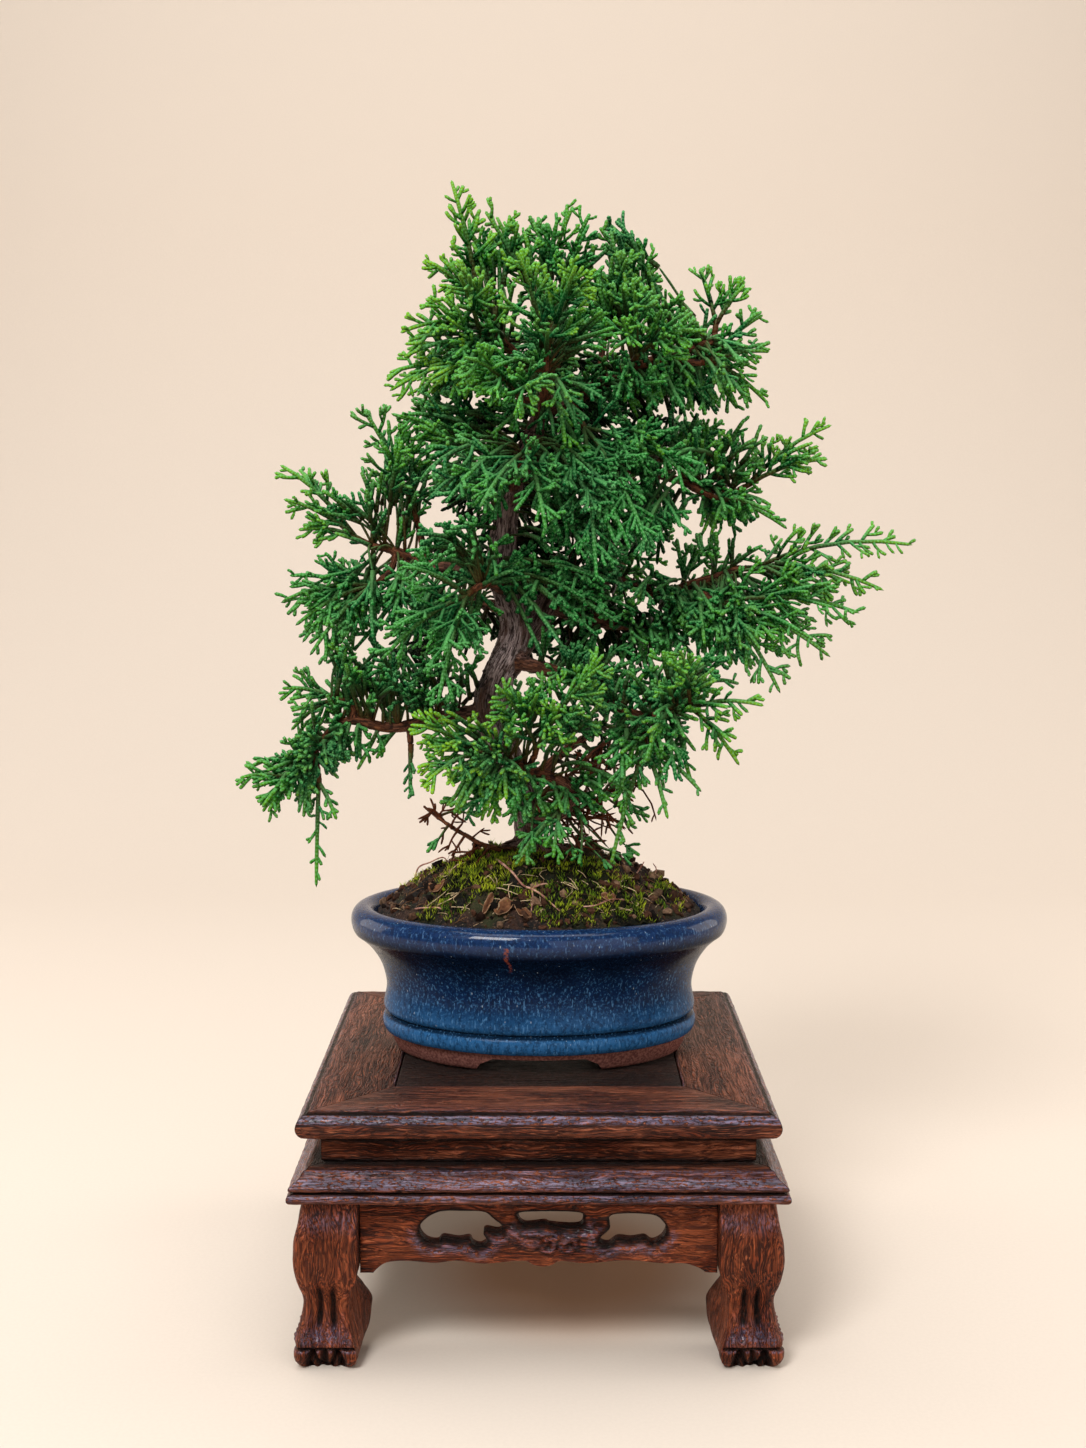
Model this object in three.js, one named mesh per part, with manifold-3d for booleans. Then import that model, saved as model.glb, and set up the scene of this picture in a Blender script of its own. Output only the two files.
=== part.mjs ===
// A kishu juniper bonsai in an oval glazed pot, on a carved display stand. Millimetres, +Z up.
import * as THREE from 'three';
import { mergeVertices } from 'three/addons/utils/BufferGeometryUtils.js';
import Module from 'manifold-3d';

const wasm = await Module();
wasm.setup();

// Driving dimensions of the stand, measured out from its middle and up from the surface it stands on
const standHeight = 71;
const topHalfWidth = 65.2;
const panelHalfWidth = 40.2;
const beadHalfWidth = 67.6;
const waistHalfWidth = 59;
const waistThickness = 5;
const legTop = 46.5;
const legInside = 48.9;
const apronFront = 61;
const apronThickness = 4.5;
const seatGap = 0.3;
const mitreGap = 0.2;

// Driving dimensions of the pot, the soil and the foliage
const rimHalfLength = 56.4;
const rimHalfDepth = 41.8;
const soilHalfLength = 48.6;
const soilHalfDepth = 34.4;
const soilEdge = 112.6;
const moundHeight = 18.4;
const drainRadius = 5;
const drainOffset = 19;
const cordRadius = 0.95;
const stemRadius = 1.15;
const shootSpacing = 10.3;
const sliverWidth = 0.05;

const bonsai = new THREE.Group();

function finish(color, roughness, metalness = 0) {
  return new THREE.MeshStandardMaterial({ color, roughness, metalness });
}

const finishes = {
  railWood: () => finish(0x4a281c, 0.5),
  carvedWood: () => finish(0x562c1c, 0.55),
  glaze: () => finish(0x1e3a63, 0.2),
  soil: () => finish(0x33221a, 0.95),
  moss: () => finish(0x5a7a1e, 0.95),
  bark: () => finish(0x6a4a3c, 0.85),
  foliage: () => finish(0x2f7d3a, 0.6),
};

function addPiece(name, geometry, material) {
  geometry.deleteAttribute('normal');
  geometry.deleteAttribute('uv');
  const shape = mergeVertices(geometry, 1e-4);
  shape.computeVertexNormals();
  const mesh = new THREE.Mesh(shape, material);
  mesh.name = name;
  bonsai.add(mesh);
  return mesh;
}

// Closed geometry from points and triangles; the faces are turned to point outwards
function closedGeometry(points, triangles) {
  const edge = new THREE.Vector3();
  let volume = 0;
  for (const [a, b, c] of triangles) {
    volume += points[a].dot(edge.crossVectors(points[b], points[c]));
  }
  const faces = volume < 0 ? triangles.map(([a, b, c]) => [a, c, b]) : triangles;
  const geometry = new THREE.BufferGeometry().setFromPoints(points);
  geometry.setIndex(faces.flat());
  return geometry;
}

function toSolid(geometry) {
  const bare = geometry.clone();
  bare.deleteAttribute('normal');
  bare.deleteAttribute('uv');
  const merged = mergeVertices(bare, 1e-4);
  return new wasm.Manifold(new wasm.Mesh({
    numProp: 3,
    vertProperties: new Float32Array(merged.attributes.position.array),
    triVerts: new Uint32Array(merged.index.array),
  }));
}

function toGeometry(solid) {
  const mesh = solid.getMesh();
  const geometry = new THREE.BufferGeometry();
  geometry.setAttribute('position', new THREE.BufferAttribute(new Float32Array(mesh.vertProperties), 3));
  geometry.setIndex(new THREE.BufferAttribute(new Uint32Array(mesh.triVerts), 1));
  return geometry;
}

function joined(geometries) {
  return geometries.map(toSolid).reduce((whole, solid) => whole.add(solid));
}

// The largest skin of a solid: it leaves out loose scraps and fills the hollows that joining has sealed
function grownSolid(solid) {
  const parts = solid.decompose();
  const largest = parts.reduce((best, part) => (part.volume() > best.volume() ? part : best));
  return largest.simplify(sliverWidth);
}

// A skin over rings of equally many points, closed at both ends by a fan
function loft(rings) {
  const count = rings[0].length;
  const triangles = [];
  for (let ring = 0; ring + 1 < rings.length; ring++) {
    for (let i = 0; i < count; i++) {
      const a = ring * count + i;
      const b = ring * count + (i + 1) % count;
      triangles.push([a, b, b + count], [a, b + count, a + count]);
    }
  }
  const last = (rings.length - 1) * count;
  for (let i = 1; i + 1 < count; i++) {
    triangles.push([0, i + 1, i], [last, last + i, last + i + 1]);
  }
  return closedGeometry(rings.flat(), triangles);
}

// One side of a square frame with mitred ends: the profile lists [distance out, height], turning left
function mitredSide(profile) {
  const contour = profile.map(([out, height]) => new THREE.Vector2(out, height));
  const count = contour.length;
  const points = [-1, 1].flatMap((end) => contour.map(
    ({ x: out, y: height }) => new THREE.Vector3(end * (out - mitreGap), -out, height)));
  const triangles = [];
  for (let i = 0; i < count; i++) {
    const next = (i + 1) % count;
    triangles.push([i, next, count + next], [i, count + next, count + i]);
  }
  for (const [a, b, c] of THREE.ShapeUtils.triangulateShape(contour, [])) {
    triangles.push([a, c, b], [count + a, count + b, count + c]);
  }
  return closedGeometry(points, triangles);
}

function addFourSides(name, makeGeometry, makeMaterial) {
  ['front', 'right', 'back', 'left'].forEach((side, turn) => {
    const mesh = addPiece(`${name}_${side}`, makeGeometry(), makeMaterial());
    mesh.rotation.z = turn * Math.PI / 2;
  });
}

// The stand's top: mitred rails with a bullnose edge, and a panel that lies on their hidden lips
const railUnderside = 63.4;
const lipTop = 66;
const panelInset = 0.3;
const railProfile = [
  [38, railUnderside], [61.4, railUnderside], [63.8, 63.9], [65, 65.4], [topHalfWidth, 67], [64.7, 69.1],
  [63.1, 70.6], [60.6, standHeight], [panelHalfWidth + panelInset, standHeight],
  [panelHalfWidth + panelInset, lipTop], [38, lipTop],
];
addFourSides('top_rail', () => mitredSide(railProfile), finishes.railWood);

const panelThickness = standHeight - panelInset - lipTop - seatGap;
const panel = new THREE.BoxGeometry(2 * panelHalfWidth, 2 * panelHalfWidth, panelThickness);
const panelMesh = addPiece('top_panel', panel, finishes.railWood());
panelMesh.position.z = lipTop + seatGap + panelThickness / 2;

// The waist boards stand between the top and the moulding
const mouldingTop = 55.6;
const waistProfile = [
  [waistHalfWidth - waistThickness, mouldingTop + seatGap], [waistHalfWidth, mouldingTop + seatGap],
  [waistHalfWidth, railUnderside - seatGap], [waistHalfWidth - waistThickness, railUnderside - seatGap],
];
addFourSides('waist_board', () => mitredSide(waistProfile), finishes.railWood);

// The moulding: a bead below, a fine groove, and an ogee that draws in to the waist
const mouldingBottom = legTop + seatGap;
const mouldingProfile = [
  [53, mouldingBottom], [66.7, mouldingBottom], [67.5, 47.4], [beadHalfWidth, 48.4], [67.1, 49.3],
  [66.1, 49.6], [66.1, 50], [67, 50.3], [66.5, 51.3], [65, 52.5], [63.5, 54.1], [62.3, mouldingTop],
  [53, mouldingTop],
];
addFourSides('moulding', () => mitredSide(mouldingProfile), finishes.railWood);

// Aprons: a board with a scalloped lower edge and three pierced, hand-cut openings
const apronEnd = legInside - seatGap;
const apronEdge = [
  [-apronEnd, 25.2], [-45, 25.2], [-43.6, 26.7], [-41.3, 28.1], [-36.3, 28.6], [-28.2, 28], [-22.4, 28.6],
  [-14.8, 27.8], [-4.6, 28.6], [-1.4, 27.4], [1.2, 26.9], [3.6, 27.4], [6, 28.5], [13, 27.9], [23.7, 28.7],
  [33.5, 27.9], [39.2, 27.9], [43.3, 26.7], [45.4, 25.3], [apronEnd, 25.2],
];
const apronOpenings = {
  left: [
    [-26.9, 42.3], [-31.4, 39.6], [-32.3, 36.7], [-30.5, 34.2], [-27.6, 33.6], [-26, 34.8], [-21.9, 34.2],
    [-18.8, 34.6], [-17.9, 33.2], [-15.9, 32.5], [-14, 33.9], [-15, 36], [-14.3, 37.1], [-10.8, 36.6],
    [-9.9, 38.2], [-12.5, 40.5], [-14.8, 42.2],
  ],
  middle: [
    [-4.8, 42.2], [-5.5, 40.6], [-3.7, 38.5], [1.7, 38.9], [3, 38.4], [8.7, 37.9], [11.5, 38.4], [12, 40.6],
    [10.2, 42.2],
  ],
  right: [
    [20, 41.4], [19.3, 37.6], [16.7, 34.9], [17, 33.5], [19, 32.9], [21.6, 34.5], [25.2, 34.2], [28.8, 34.7],
    [30.9, 33.5], [33.3, 34.6], [34.6, 36.8], [34, 39.2], [30.4, 41.5],
  ],
};

function apronBoard() {
  const corners = [[apronEnd, legTop], [-apronEnd, legTop]];
  const outline = new THREE.Shape([...apronEdge, ...corners].map(([x, z]) => new THREE.Vector2(x, z)));
  for (const opening of Object.values(apronOpenings)) {
    outline.holes.push(new THREE.Path(opening.map(([x, z]) => new THREE.Vector2(x, z))));
  }
  const board = new THREE.ExtrudeGeometry(outline, { depth: apronThickness, bevelEnabled: false });
  return board.rotateX(Math.PI / 2).translate(0, apronThickness - apronFront, 0);
}
addFourSides('apron', apronBoard, finishes.carvedWood);

// Cabriole legs: [height, outer face, inner edge of the front face, inner corner], out from the middle
const legLevels = [
  [legTop, 63.9, legInside, legInside], [39, 65.2, legInside, legInside], [31, 66.4, legInside, legInside],
  [25, 65.7, legInside, legInside], [22, 64.6, 50.8, 50.8], [17.5, 63.6, 51.4, 49], [13, 64.2, 51.2, 46.9],
  [7, 65.8, 49.9, 47.3], [3, 66.2, 49, 48.6], [0, 64, 51.4, 51.6],
];
const legCornerCut = 1.6;

function legSection([height, outer, inner, corner]) {
  const cut = legCornerCut;
  const outline = [
    [outer - cut, outer], [outer - cut * 0.3, outer - cut * 0.3], [outer, outer - cut],
    [outer, inner + cut * 0.5], [outer - cut * 0.5, inner], [(outer + corner) / 2, (inner + corner) / 2],
    [corner + cut, corner], [corner + cut * 0.3, corner + cut * 0.3], [corner, corner + cut],
    [(inner + corner) / 2, (outer + corner) / 2], [inner, outer - cut * 0.5], [inner + cut * 0.5, outer],
  ];
  return outline.map(([x, y]) => new THREE.Vector3(-x, -y, height));
}

['front_left', 'front_right', 'back_right', 'back_left'].forEach((corner, turn) => {
  const leg = addPiece(`leg_${corner}`, loft(legLevels.map(legSection)), finishes.carvedWood());
  leg.rotation.z = turn * Math.PI / 2;
});

// The pot: [half length, half depth, height], from its underside up its outside and down its inside
const potBase = standHeight + seatGap;
const potFloor = 79.3;
const potWall = [
  [38.4, 25.6, 75.2], [39.5, 26.5, potBase], [42.5, 29, potBase], [44.3, 30.7, 75.9], [46.4, 32.5, 76.5],
  [47.3, 33.3, 79], [46.4, 32.6, 81.8], [45.4, 31.8, 82.5], [46.6, 32.7, 83.6], [46.8, 32.9, 85.8],
  [46, 32.2, 89.8], [46.9, 32.9, 95.2], [49.6, 35.2, 101], [53, 38.5, 105.2], [55.6, 41, 107.5],
  [rimHalfLength, rimHalfDepth, 110.6], [55.2, 40.6, 113.5], [52.6, 38.1, 114.8], [49.6, 35.4, 113.6],
  [48.9, 34.7, 111], [44.6, 30.8, 101], [41.6, 28.2, 92], [41.6, 28.2, 83], [38, 25, potFloor],
];
const potSegments = 24;
const drainSides = 12;

function ovalRing(halfLength, halfDepth, heightAt) {
  return Array.from({ length: potSegments }, (_, i) => {
    const angle = i / potSegments * 2 * Math.PI;
    const x = halfLength * Math.cos(angle);
    const y = halfDepth * Math.sin(angle);
    return new THREE.Vector3(x, y, heightAt(x, y));
  });
}

function drainHole(x) {
  const floorMiddle = (potBase + potFloor) / 2;
  return new THREE.CylinderGeometry(drainRadius, drainRadius, 2 * (potFloor - potBase), drainSides)
    .rotateX(Math.PI / 2).translate(x, 0, floorMiddle);
}

// The gap between the two feet, with its slanted ends, right through from front to back
function footNotch() {
  const outline = new THREE.Shape([
    new THREE.Vector2(-19, potBase - 1), new THREE.Vector2(19, potBase - 1), new THREE.Vector2(17, 73.2),
    new THREE.Vector2(13, 75.2), new THREE.Vector2(-13, 75.2), new THREE.Vector2(-17, 73.2),
  ]);
  return new THREE.ExtrudeGeometry(outline, { depth: 90, bevelEnabled: false })
    .rotateX(Math.PI / 2).translate(0, 45, 0);
}

const potBody = loft(potWall.map(([length, depth, height]) => ovalRing(length, depth, () => height)));
const potCuts = [footNotch(), drainHole(-drainOffset), drainHole(drainOffset)];
const pot = potCuts.reduce((solid, cut) => solid.subtract(toSolid(cut)), toSolid(potBody));
addPiece('pot', toGeometry(pot), finishes.glaze());

// The juniper's wood: limbs as [x, y, height, radius], from the trunk's foot in the soil to the twigs
const limbs = {
  trunk: [
    [0.5, 1, 105, 6], [-0.5, 0.5, 121, 6.4], [-2, 0, 129.5, 5.6], [-3, -0.5, 135, 4.2], [-4.6, -1, 146, 3.9],
    [-9, -2, 158, 4.1], [-13.4, -2.5, 168, 4.6], [-14.6, -2.5, 176, 4.9], [-12, -2, 184, 4.6],
    [-8.2, -1, 191, 4.9], [-6.8, 0, 198, 4.7], [-8.5, 0.5, 206, 4.2], [-11.5, 1, 213.5, 3.7],
    [-10.5, 1, 224, 3.5], [-8.6, 0.5, 237, 3.3], [-5.5, 0, 246, 3], [-1.5, 0, 254, 2.7], [1.5, 0, 262, 2.4],
    [3, 1, 272, 1.9], [2, 2, 284, 1.4],
  ],
  rightStem: [[-9, 0, 187, 3.4], [-1.5, 2, 198, 3.6], [3.8, 4, 208, 3], [9, 6, 215, 2.4]],
  rightMain: [[7, 5, 213, 2.4], [22, 5, 212, 2], [35.5, 3, 207.5, 1.7], [46, 2, 210.5, 1.5], [57, 1, 214, 1.2]],
  rightLow: [[2, 4, 204, 2.2], [14, 4, 200, 1.9], [24.4, 2, 198.5, 1.7], [38.5, -1, 199, 1.3]],
  rightMid: [[-6, 0, 244, 2.2], [6, 3, 247, 1.9], [20, 4, 245.5, 1.6], [32, 3, 243, 1.4], [42, 2, 240.5, 1.2],
    [56, 1, 236.5, 1]],
  upperRight: [[1.5, 0, 261, 2.2], [10.5, -1, 264.5, 2], [19, -2, 269, 1.9], [27.7, -3, 273.4, 1.6],
    [39, -3, 276.5, 1.3], [48, -2, 280.5, 1.1]],
  apexLeft: [[2.5, 1, 268, 1.7], [-5, -2, 275, 1.5], [-13, -3, 283, 1.1]],
  frontUpper: [[0, 0, 258, 2], [2, -9, 264, 1.6], [2, -18, 271, 1.2]],
  frontMiddle: [[-8, 0, 238, 2], [-6, -10, 244, 1.6], [-3, -17, 249, 1.2]],
  backUpper: [[1.5, 1, 264, 1.8], [4, 12, 271, 1.5], [6, 23, 277, 1.1]],
  backHigh: [[-9, 1, 232, 2], [-11, 14, 238, 1.6], [-13, 27, 242, 1.1]],
  backRight: [[7, 6, 213, 2], [15, 18, 214, 1.5], [23, 31, 215, 1.1]],
  backLeft: [[-9, 1, 203, 2.2], [-16, 14, 204, 1.7], [-24, 27, 204, 1.1]],
  backLow: [[-5, 0, 149, 2], [6, 10, 158, 1.5], [17, 22, 164, 1.1]],
  frontRight: [[-8, -2, 188, 2.4], [5, -10, 185, 2], [18, -17, 178.5, 1.8], [29, -22, 173.5, 1.5],
    [38, -27, 175.5, 1.1]],
  frontLow: [[-4, -2, 141, 2.4], [4, -7, 142, 2.2], [10.5, -11, 148.5, 2.1], [6, -15, 154, 1.8],
    [-4, -19, 158, 1.4], [-12, -22, 162, 1.1]],
  leftMain: [[-11, 1, 212, 2.4], [-22, 0, 214.5, 2], [-33.5, 0, 216, 1.7], [-42, 0, 220, 1.4],
    [-49, 0, 221.5, 1.1]],
  leftFront: [[-10, 0, 209, 2.2], [-14, -10, 211, 1.6], [-17, -17, 210, 1.1]],
  leftLow: [[-14, -2, 173, 2.4], [-24, -2, 172, 2.1], [-39, -1, 168.5, 1.8], [-46.5, -1, 168, 1.6],
    [-56, -1, 170, 1.4], [-62.5, -1, 166.5, 1.2], [-67, -1, 160, 1], [-70, -1, 155.5, 0.9]],
  deadTwig: [[-4, -1, 130, 1.2], [-15, -4, 132.5, 0.9], [-22, -4, 136, 0.8], [-28, -5, 140, 0.7],
    [-34.5, -5, 145, 0.6]],
  bareTwigLow: [[-3, 1, 139, 1.6], [8, 4, 141.5, 1.2], [20, 4, 147, 1], [26, 2, 157, 0.8]],
  bareTwigHigh: [[-4, 1, 146, 1.4], [6, 3, 150, 1.1], [14, 2, 158, 0.9], [24, 4, 166, 0.8]],
  rootFront: [[-2, -1, 132, 3], [2, -10, 128.5, 2], [6, -19, 119, 0.9]],
  rootLeft: [[-3, 0, 132.5, 3.2], [-12, 1, 129.5, 2.2], [-23, 3, 119, 0.9]],
  rootRight: [[-1, 0, 132, 3], [9, 2, 128.5, 2], [18, 4, 119, 0.9]],
  rootBack: [[-2, 1, 132, 3], [-1, 10, 128.5, 2], [1, 19, 118, 0.9]],
};
const limbSides = { trunk: 8, rightStem: 5 };

function vector([x, y, z]) {
  return new THREE.Vector3(x, y, z);
}

// A tapered limb through [x, y, z, radius] stations; its end rings lie square to its end directions
function limbGeometry(stations, sides, firstDirection = null, grow = 0) {
  const centres = stations.map(vector);
  let side = null;
  const rings = centres.map((centre, i) => {
    const before = centres[Math.max(i - 1, 0)];
    const after = centres[Math.min(i + 1, centres.length - 1)];
    let along = after.clone().sub(before).normalize();
    if (i === 0 && firstDirection) {
      along = firstDirection.clone();
    }
    if (!side) {
      const away = Math.abs(along.z) > 0.9 ? new THREE.Vector3(1, 0, 0) : new THREE.Vector3(0, 0, 1);
      side = away.cross(along).normalize();
    }
    side = side.clone().addScaledVector(along, -side.dot(along)).normalize();
    const across = along.clone().cross(side);
    const radius = stations[i][3] + grow;
    return Array.from({ length: sides }, (_, k) => {
      const angle = k / sides * 2 * Math.PI;
      return centre.clone()
        .addScaledVector(side, radius * Math.cos(angle))
        .addScaledVector(across, radius * Math.sin(angle));
    });
  });
  return loft(rings);
}

// Foliage sprays: the limb and the joint on it that carry the spray's twig, where the twig ends and the
// cords begin, and the tip of each plume of the spray
const sprays = {
  top_spire: { limb: 'apexLeft', joint: 2, base: [-16, -3, 289], tips: [[-25.3, 0, 326.4], [-33, -6, 303]] },
  top_centre: { limb: 'trunk', joint: 19, base: [1, 2, 290],
    tips: [[0.3, 4, 316.5], [-9, 8, 310], [9.8, -2, 318.8]] },
  top_right: { limb: 'upperRight', joint: 2, base: [19, 1, 281],
    tips: [[22, 2, 313.7], [25, -12, 303], [35, 2, 302.4]] },
  right_crest: { limb: 'upperRight', joint: 5, base: [51, -2, 283], tips: [[59.7, 0, 296.8], [47, 6, 302]] },
  right_shoulder: { limb: 'upperRight', joint: 4, base: [47, -7, 274],
    tips: [[64.2, -7, 287.4], [65.8, -10, 276.8], [66.8, -2, 262.5]] },
  left_crown: { limb: 'apexLeft', joint: 1, base: [-13, -4, 274],
    tips: [[-31, -12, 292], [-39, -2, 279.7], [-44, 4, 266.8], [-22, -28, 296]] },
  front_crown: { limb: 'frontUpper', joint: 2, base: [2, -21, 274], tips: [[-6, -40, 300], [12, -42, 296]] },
  front_crown_low: { limb: 'frontUpper', joint: 1, base: [-5, -17, 263],
    tips: [[-20, -42, 272], [-2, -48, 262]] },
  front_right_crown: { limb: 'upperRight', joint: 3, base: [27, -13, 274],
    tips: [[26, -38, 290], [42, -36, 280]] },
  back_crown: { limb: 'backUpper', joint: 2, base: [6.5, 26, 279],
    tips: [[0, 40, 303], [20, 44, 298], [-20, 40, 284]] },
  right_plume_high: { limb: 'rightMid', joint: 5, base: [59, 1, 238],
    tips: [[85.6, 0, 256.7], [83.8, -5, 246.6]] },
  right_plume_mid: { limb: 'rightMid', joint: 4, base: [50, -6, 236],
    tips: [[67.9, -12, 230.6], [72.3, -5, 226.5]] },
  right_back_high: { limb: 'rightMid', joint: 3, base: [37, 11, 247], tips: [[56, 20, 256], [48, 32, 246]] },
  long_right: { limb: 'rightMain', joint: 4, base: [61, 0.5, 215],
    tips: [[110.1, 0, 221.8], [100.7, -6, 208.6]] },
  right_low: { limb: 'rightMain', joint: 3, base: [51, -6, 206],
    tips: [[93.4, -8, 202.1], [84.8, -10, 189.4], [70.1, -12, 179]] },
  right_back: { limb: 'rightMain', joint: 2, base: [41, 13, 207], tips: [[62, 28, 204], [54, 34, 222]] },
  front_right: { limb: 'frontRight', joint: 4, base: [41, -28.5, 176.5],
    tips: [[56.2, -32, 160.6], [62, -38, 178], [38, -48, 194]] },
  front_right_hang: { limb: 'frontRight', joint: 3, base: [30, -25, 167],
    tips: [[45.4, -34, 153.4], [36, -36, 146], [20.5, -26, 131]] },
  low_front: { limb: 'frontLow', joint: 5, base: [-15, -23, 163.5], tips: [[-36, -32, 172], [-33, -36, 155]] },
  low_front_drop: { limb: 'frontLow', joint: 2, base: [7, -17, 147],
    tips: [[-6.8, -26, 131], [4, -26, 133]] },
  centre_front: { limb: 'frontLow', joint: 4, base: [-1, -24, 163],
    tips: [[-12, -40, 184], [6, -44, 176], [18, -42, 190]] },
  left_plume: { limb: 'leftMain', joint: 4, base: [-52, 0, 223],
    tips: [[-75.9, 0, 245.1], [-74, -7, 235], [-70.3, -4, 226.2]] },
  left_upper: { limb: 'leftMain', joint: 2, base: [-36, 1, 229], tips: [[-51.7, -2, 261.6], [-38, 10, 254]] },
  left_under: { limb: 'leftMain', joint: 3, base: [-47, -4, 211],
    tips: [[-75.1, -4, 205.6], [-71, -8, 198.5], [-66.4, -12, 190]] },
  left_front_fan: { limb: 'leftFront', joint: 2, base: [-19, -20, 209],
    tips: [[-44, -32, 190], [-28, -38, 178], [-38, -34, 216]] },
  lower_left_top: { limb: 'leftLow', joint: 4, base: [-58, -2, 176],
    tips: [[-76.1, -2, 179.6], [-56, -10, 190], [-75, 8, 166]] },
  lower_left_end: { limb: 'leftLow', joint: 7, base: [-72, -1, 153.5],
    tips: [[-89.4, 0, 152.6], [-82.1, -4, 142.9]] },
  lower_left_hang: { limb: 'leftLow', joint: 6, base: [-65.5, -4, 154],
    tips: [[-66.5, -4, 120.1], [-59.6, -9, 141.4]] },
  lower_left_sprig: { limb: 'leftLow', joint: 2, base: [-38, -4, 163], tips: [[-38, -6, 147.4]] },
  centre_hang: { limb: 'upperRight', joint: 1, base: [12, -11, 257],
    tips: [[16, -34, 212], [30, -34, 222], [46, -26, 238]] },
  centre_left: { limb: 'frontMiddle', joint: 2, base: [-3, -20, 250],
    tips: [[-16, -40, 232], [2, -44, 226]] },
  back_high: { limb: 'backHigh', joint: 2, base: [-14, 30, 243], tips: [[-34, 44, 252], [-8, 54, 238]] },
  back_right: { limb: 'backRight', joint: 2, base: [25, 34, 215.5], tips: [[42, 46, 228], [28, 56, 204]] },
  back_left: { limb: 'backLeft', joint: 2, base: [-27, 30, 204],
    tips: [[-48, 40, 212], [-28, 54, 194], [-50, 42, 182]] },
  back_low: { limb: 'backLow', joint: 2, base: [19, 25, 165], tips: [[36, 38, 158], [24, 44, 176]] },
};

// A repeatable draw between 0 and 1
function drawer(seed) {
  let state = seed;
  return () => {
    state = (state * 1664525 + 1013904223) % 4294967296;
    return state / 4294967296;
  };
}

// The shortest distance between two straight stretches
function stretchDistance(a, b) {
  const along = a.end.clone().sub(a.start);
  const other = b.end.clone().sub(b.start);
  const between = a.start.clone().sub(b.start);
  const aa = along.lengthSq();
  const bb = other.lengthSq();
  const ab = along.dot(other);
  const toA = along.dot(between);
  const toB = other.dot(between);
  const spread = aa * bb - ab * ab;
  let s = spread > 1e-9 ? THREE.MathUtils.clamp((ab * toB - toA * bb) / spread, 0, 1) : 0;
  const t = THREE.MathUtils.clamp((ab * s + toB) / bb, 0, 1);
  s = THREE.MathUtils.clamp((ab * t - toA) / aa, 0, 1);
  return between.addScaledVector(along, s).addScaledVector(other, -t).length();
}

function stretchesOf(stations) {
  return stations.slice(1).map((station, i) => ({
    start: vector(stations[i]),
    end: vector(station),
    radius: Math.max(stations[i][3], station[3]),
  }));
}

function isClear(stations, others) {
  return stretchesOf(stations).every((mine) => others.every(
    (other) => stretchDistance(mine, other) > mine.radius + other.radius + seatGap));
}

const twigRadius = 1;
const stalkLength = 3;

// The direction in which a spray leaves its twig: towards the middle of its plumes
function sprayDirection({ base, tips }) {
  const middle = tips.reduce((sum, tip) => sum.add(vector(tip)), new THREE.Vector3());
  return middle.divideScalar(tips.length).sub(vector(base)).normalize();
}

function station(point, radius) {
  return [point.x, point.y, point.z, radius];
}

function twigStations(spray) {
  const joint = limbs[spray.limb][spray.joint];
  const direction = sprayDirection(spray);
  const end = vector(spray.base);
  const bend = end.clone().addScaledVector(direction, -3.5).lerp(vector(joint), 0.25);
  return [
    [joint[0], joint[1], joint[2], Math.min(joint[3] * 0.7, twigRadius)], station(bend, twigRadius * 1.1),
    station(end, twigRadius),
  ];
}

function squareEnded(stations, endDirection, sides) {
  const reversed = [...stations].reverse();
  return limbGeometry(reversed, sides, endDirection.clone().negate());
}

// A plume's stem: an arc from the stalk to the tip, with its middle raised
function stemStations(start, tip, shift) {
  const middle = start.clone().lerp(tip, 0.5);
  middle.z += start.distanceTo(tip) * 0.08;
  middle.add(shift);
  return [
    station(start, stemRadius * 0.8), station(middle, stemRadius * 0.9), station(tip, stemRadius * 0.7),
  ];
}

const stemShifts = [0, 3, -3, 6, -6, 9, -9, 12, -12].flatMap((reach) => [
  new THREE.Vector3(0, reach, 0), new THREE.Vector3(reach, 0, 0),
]);

// Shoots leave the stem by turns on either side, the long ones near its foot
function shootStations(stem, place, side, draws, turn, shorten) {
  const half = place < 0.5 ? 0 : 1;
  const from = vector(stem[half]);
  const to = vector(stem[half + 1]);
  const along = to.clone().sub(from).normalize();
  const root = from.lerp(to, place * 2 - half);
  const flat = along.clone().cross(new THREE.Vector3(draws.roll, -1, 0.3)).normalize();
  const lift = flat.clone().cross(along);
  const elevation = (draws.elevation - 0.5) * 1.2 + turn;
  const out = flat.multiplyScalar(side * Math.cos(elevation)).addScaledVector(lift, Math.sin(elevation));
  const angle = 0.62 + 0.2 * (draws.angle - 0.5);
  const direction = along.multiplyScalar(Math.cos(angle)).addScaledVector(out, Math.sin(angle));
  const length = draws.length * shorten;
  const tip = root.clone().addScaledVector(direction, length);
  return [station(root, cordRadius * 0.6), station(tip, cordRadius)];
}

const shootTurns = [0, 0.6, -0.6, 1.2, -1.2];

function growPlume(start, tip, draw, others) {
  const shift = stemShifts.find((offset) => isClear(stemStations(start, tip, offset), others));
  if (!shift) {
    throw new Error(`no clear way for a stem to ${tip.toArray()}`);
  }
  const stem = stemStations(start, tip, shift);
  const length = start.distanceTo(tip);
  const count = Math.max(3, Math.round(length / shootSpacing));
  const roll = draw() * 1.4 - 0.7;
  const cords = [stem];
  for (let i = 0; i < count; i++) {
    const place = 0.14 + 0.74 * (i + 0.5) / count;
    const draws = {
      roll,
      elevation: draw(),
      angle: draw(),
      length: (0.34 * length * (1 - place) + 5) * (0.85 + 0.3 * draw()),
    };
    const side = i % 2 ? 1 : -1;
    for (const [turn, shorten] of shootTurns.map((angle) => [angle, 1]).concat([[0, 0.5]])) {
      const shoot = shootStations(stem, place, side, draws, turn, shorten);
      if (isClear(shoot, others)) {
        cords.push(shoot);
        break;
      }
    }
  }
  return cords;
}

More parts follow.
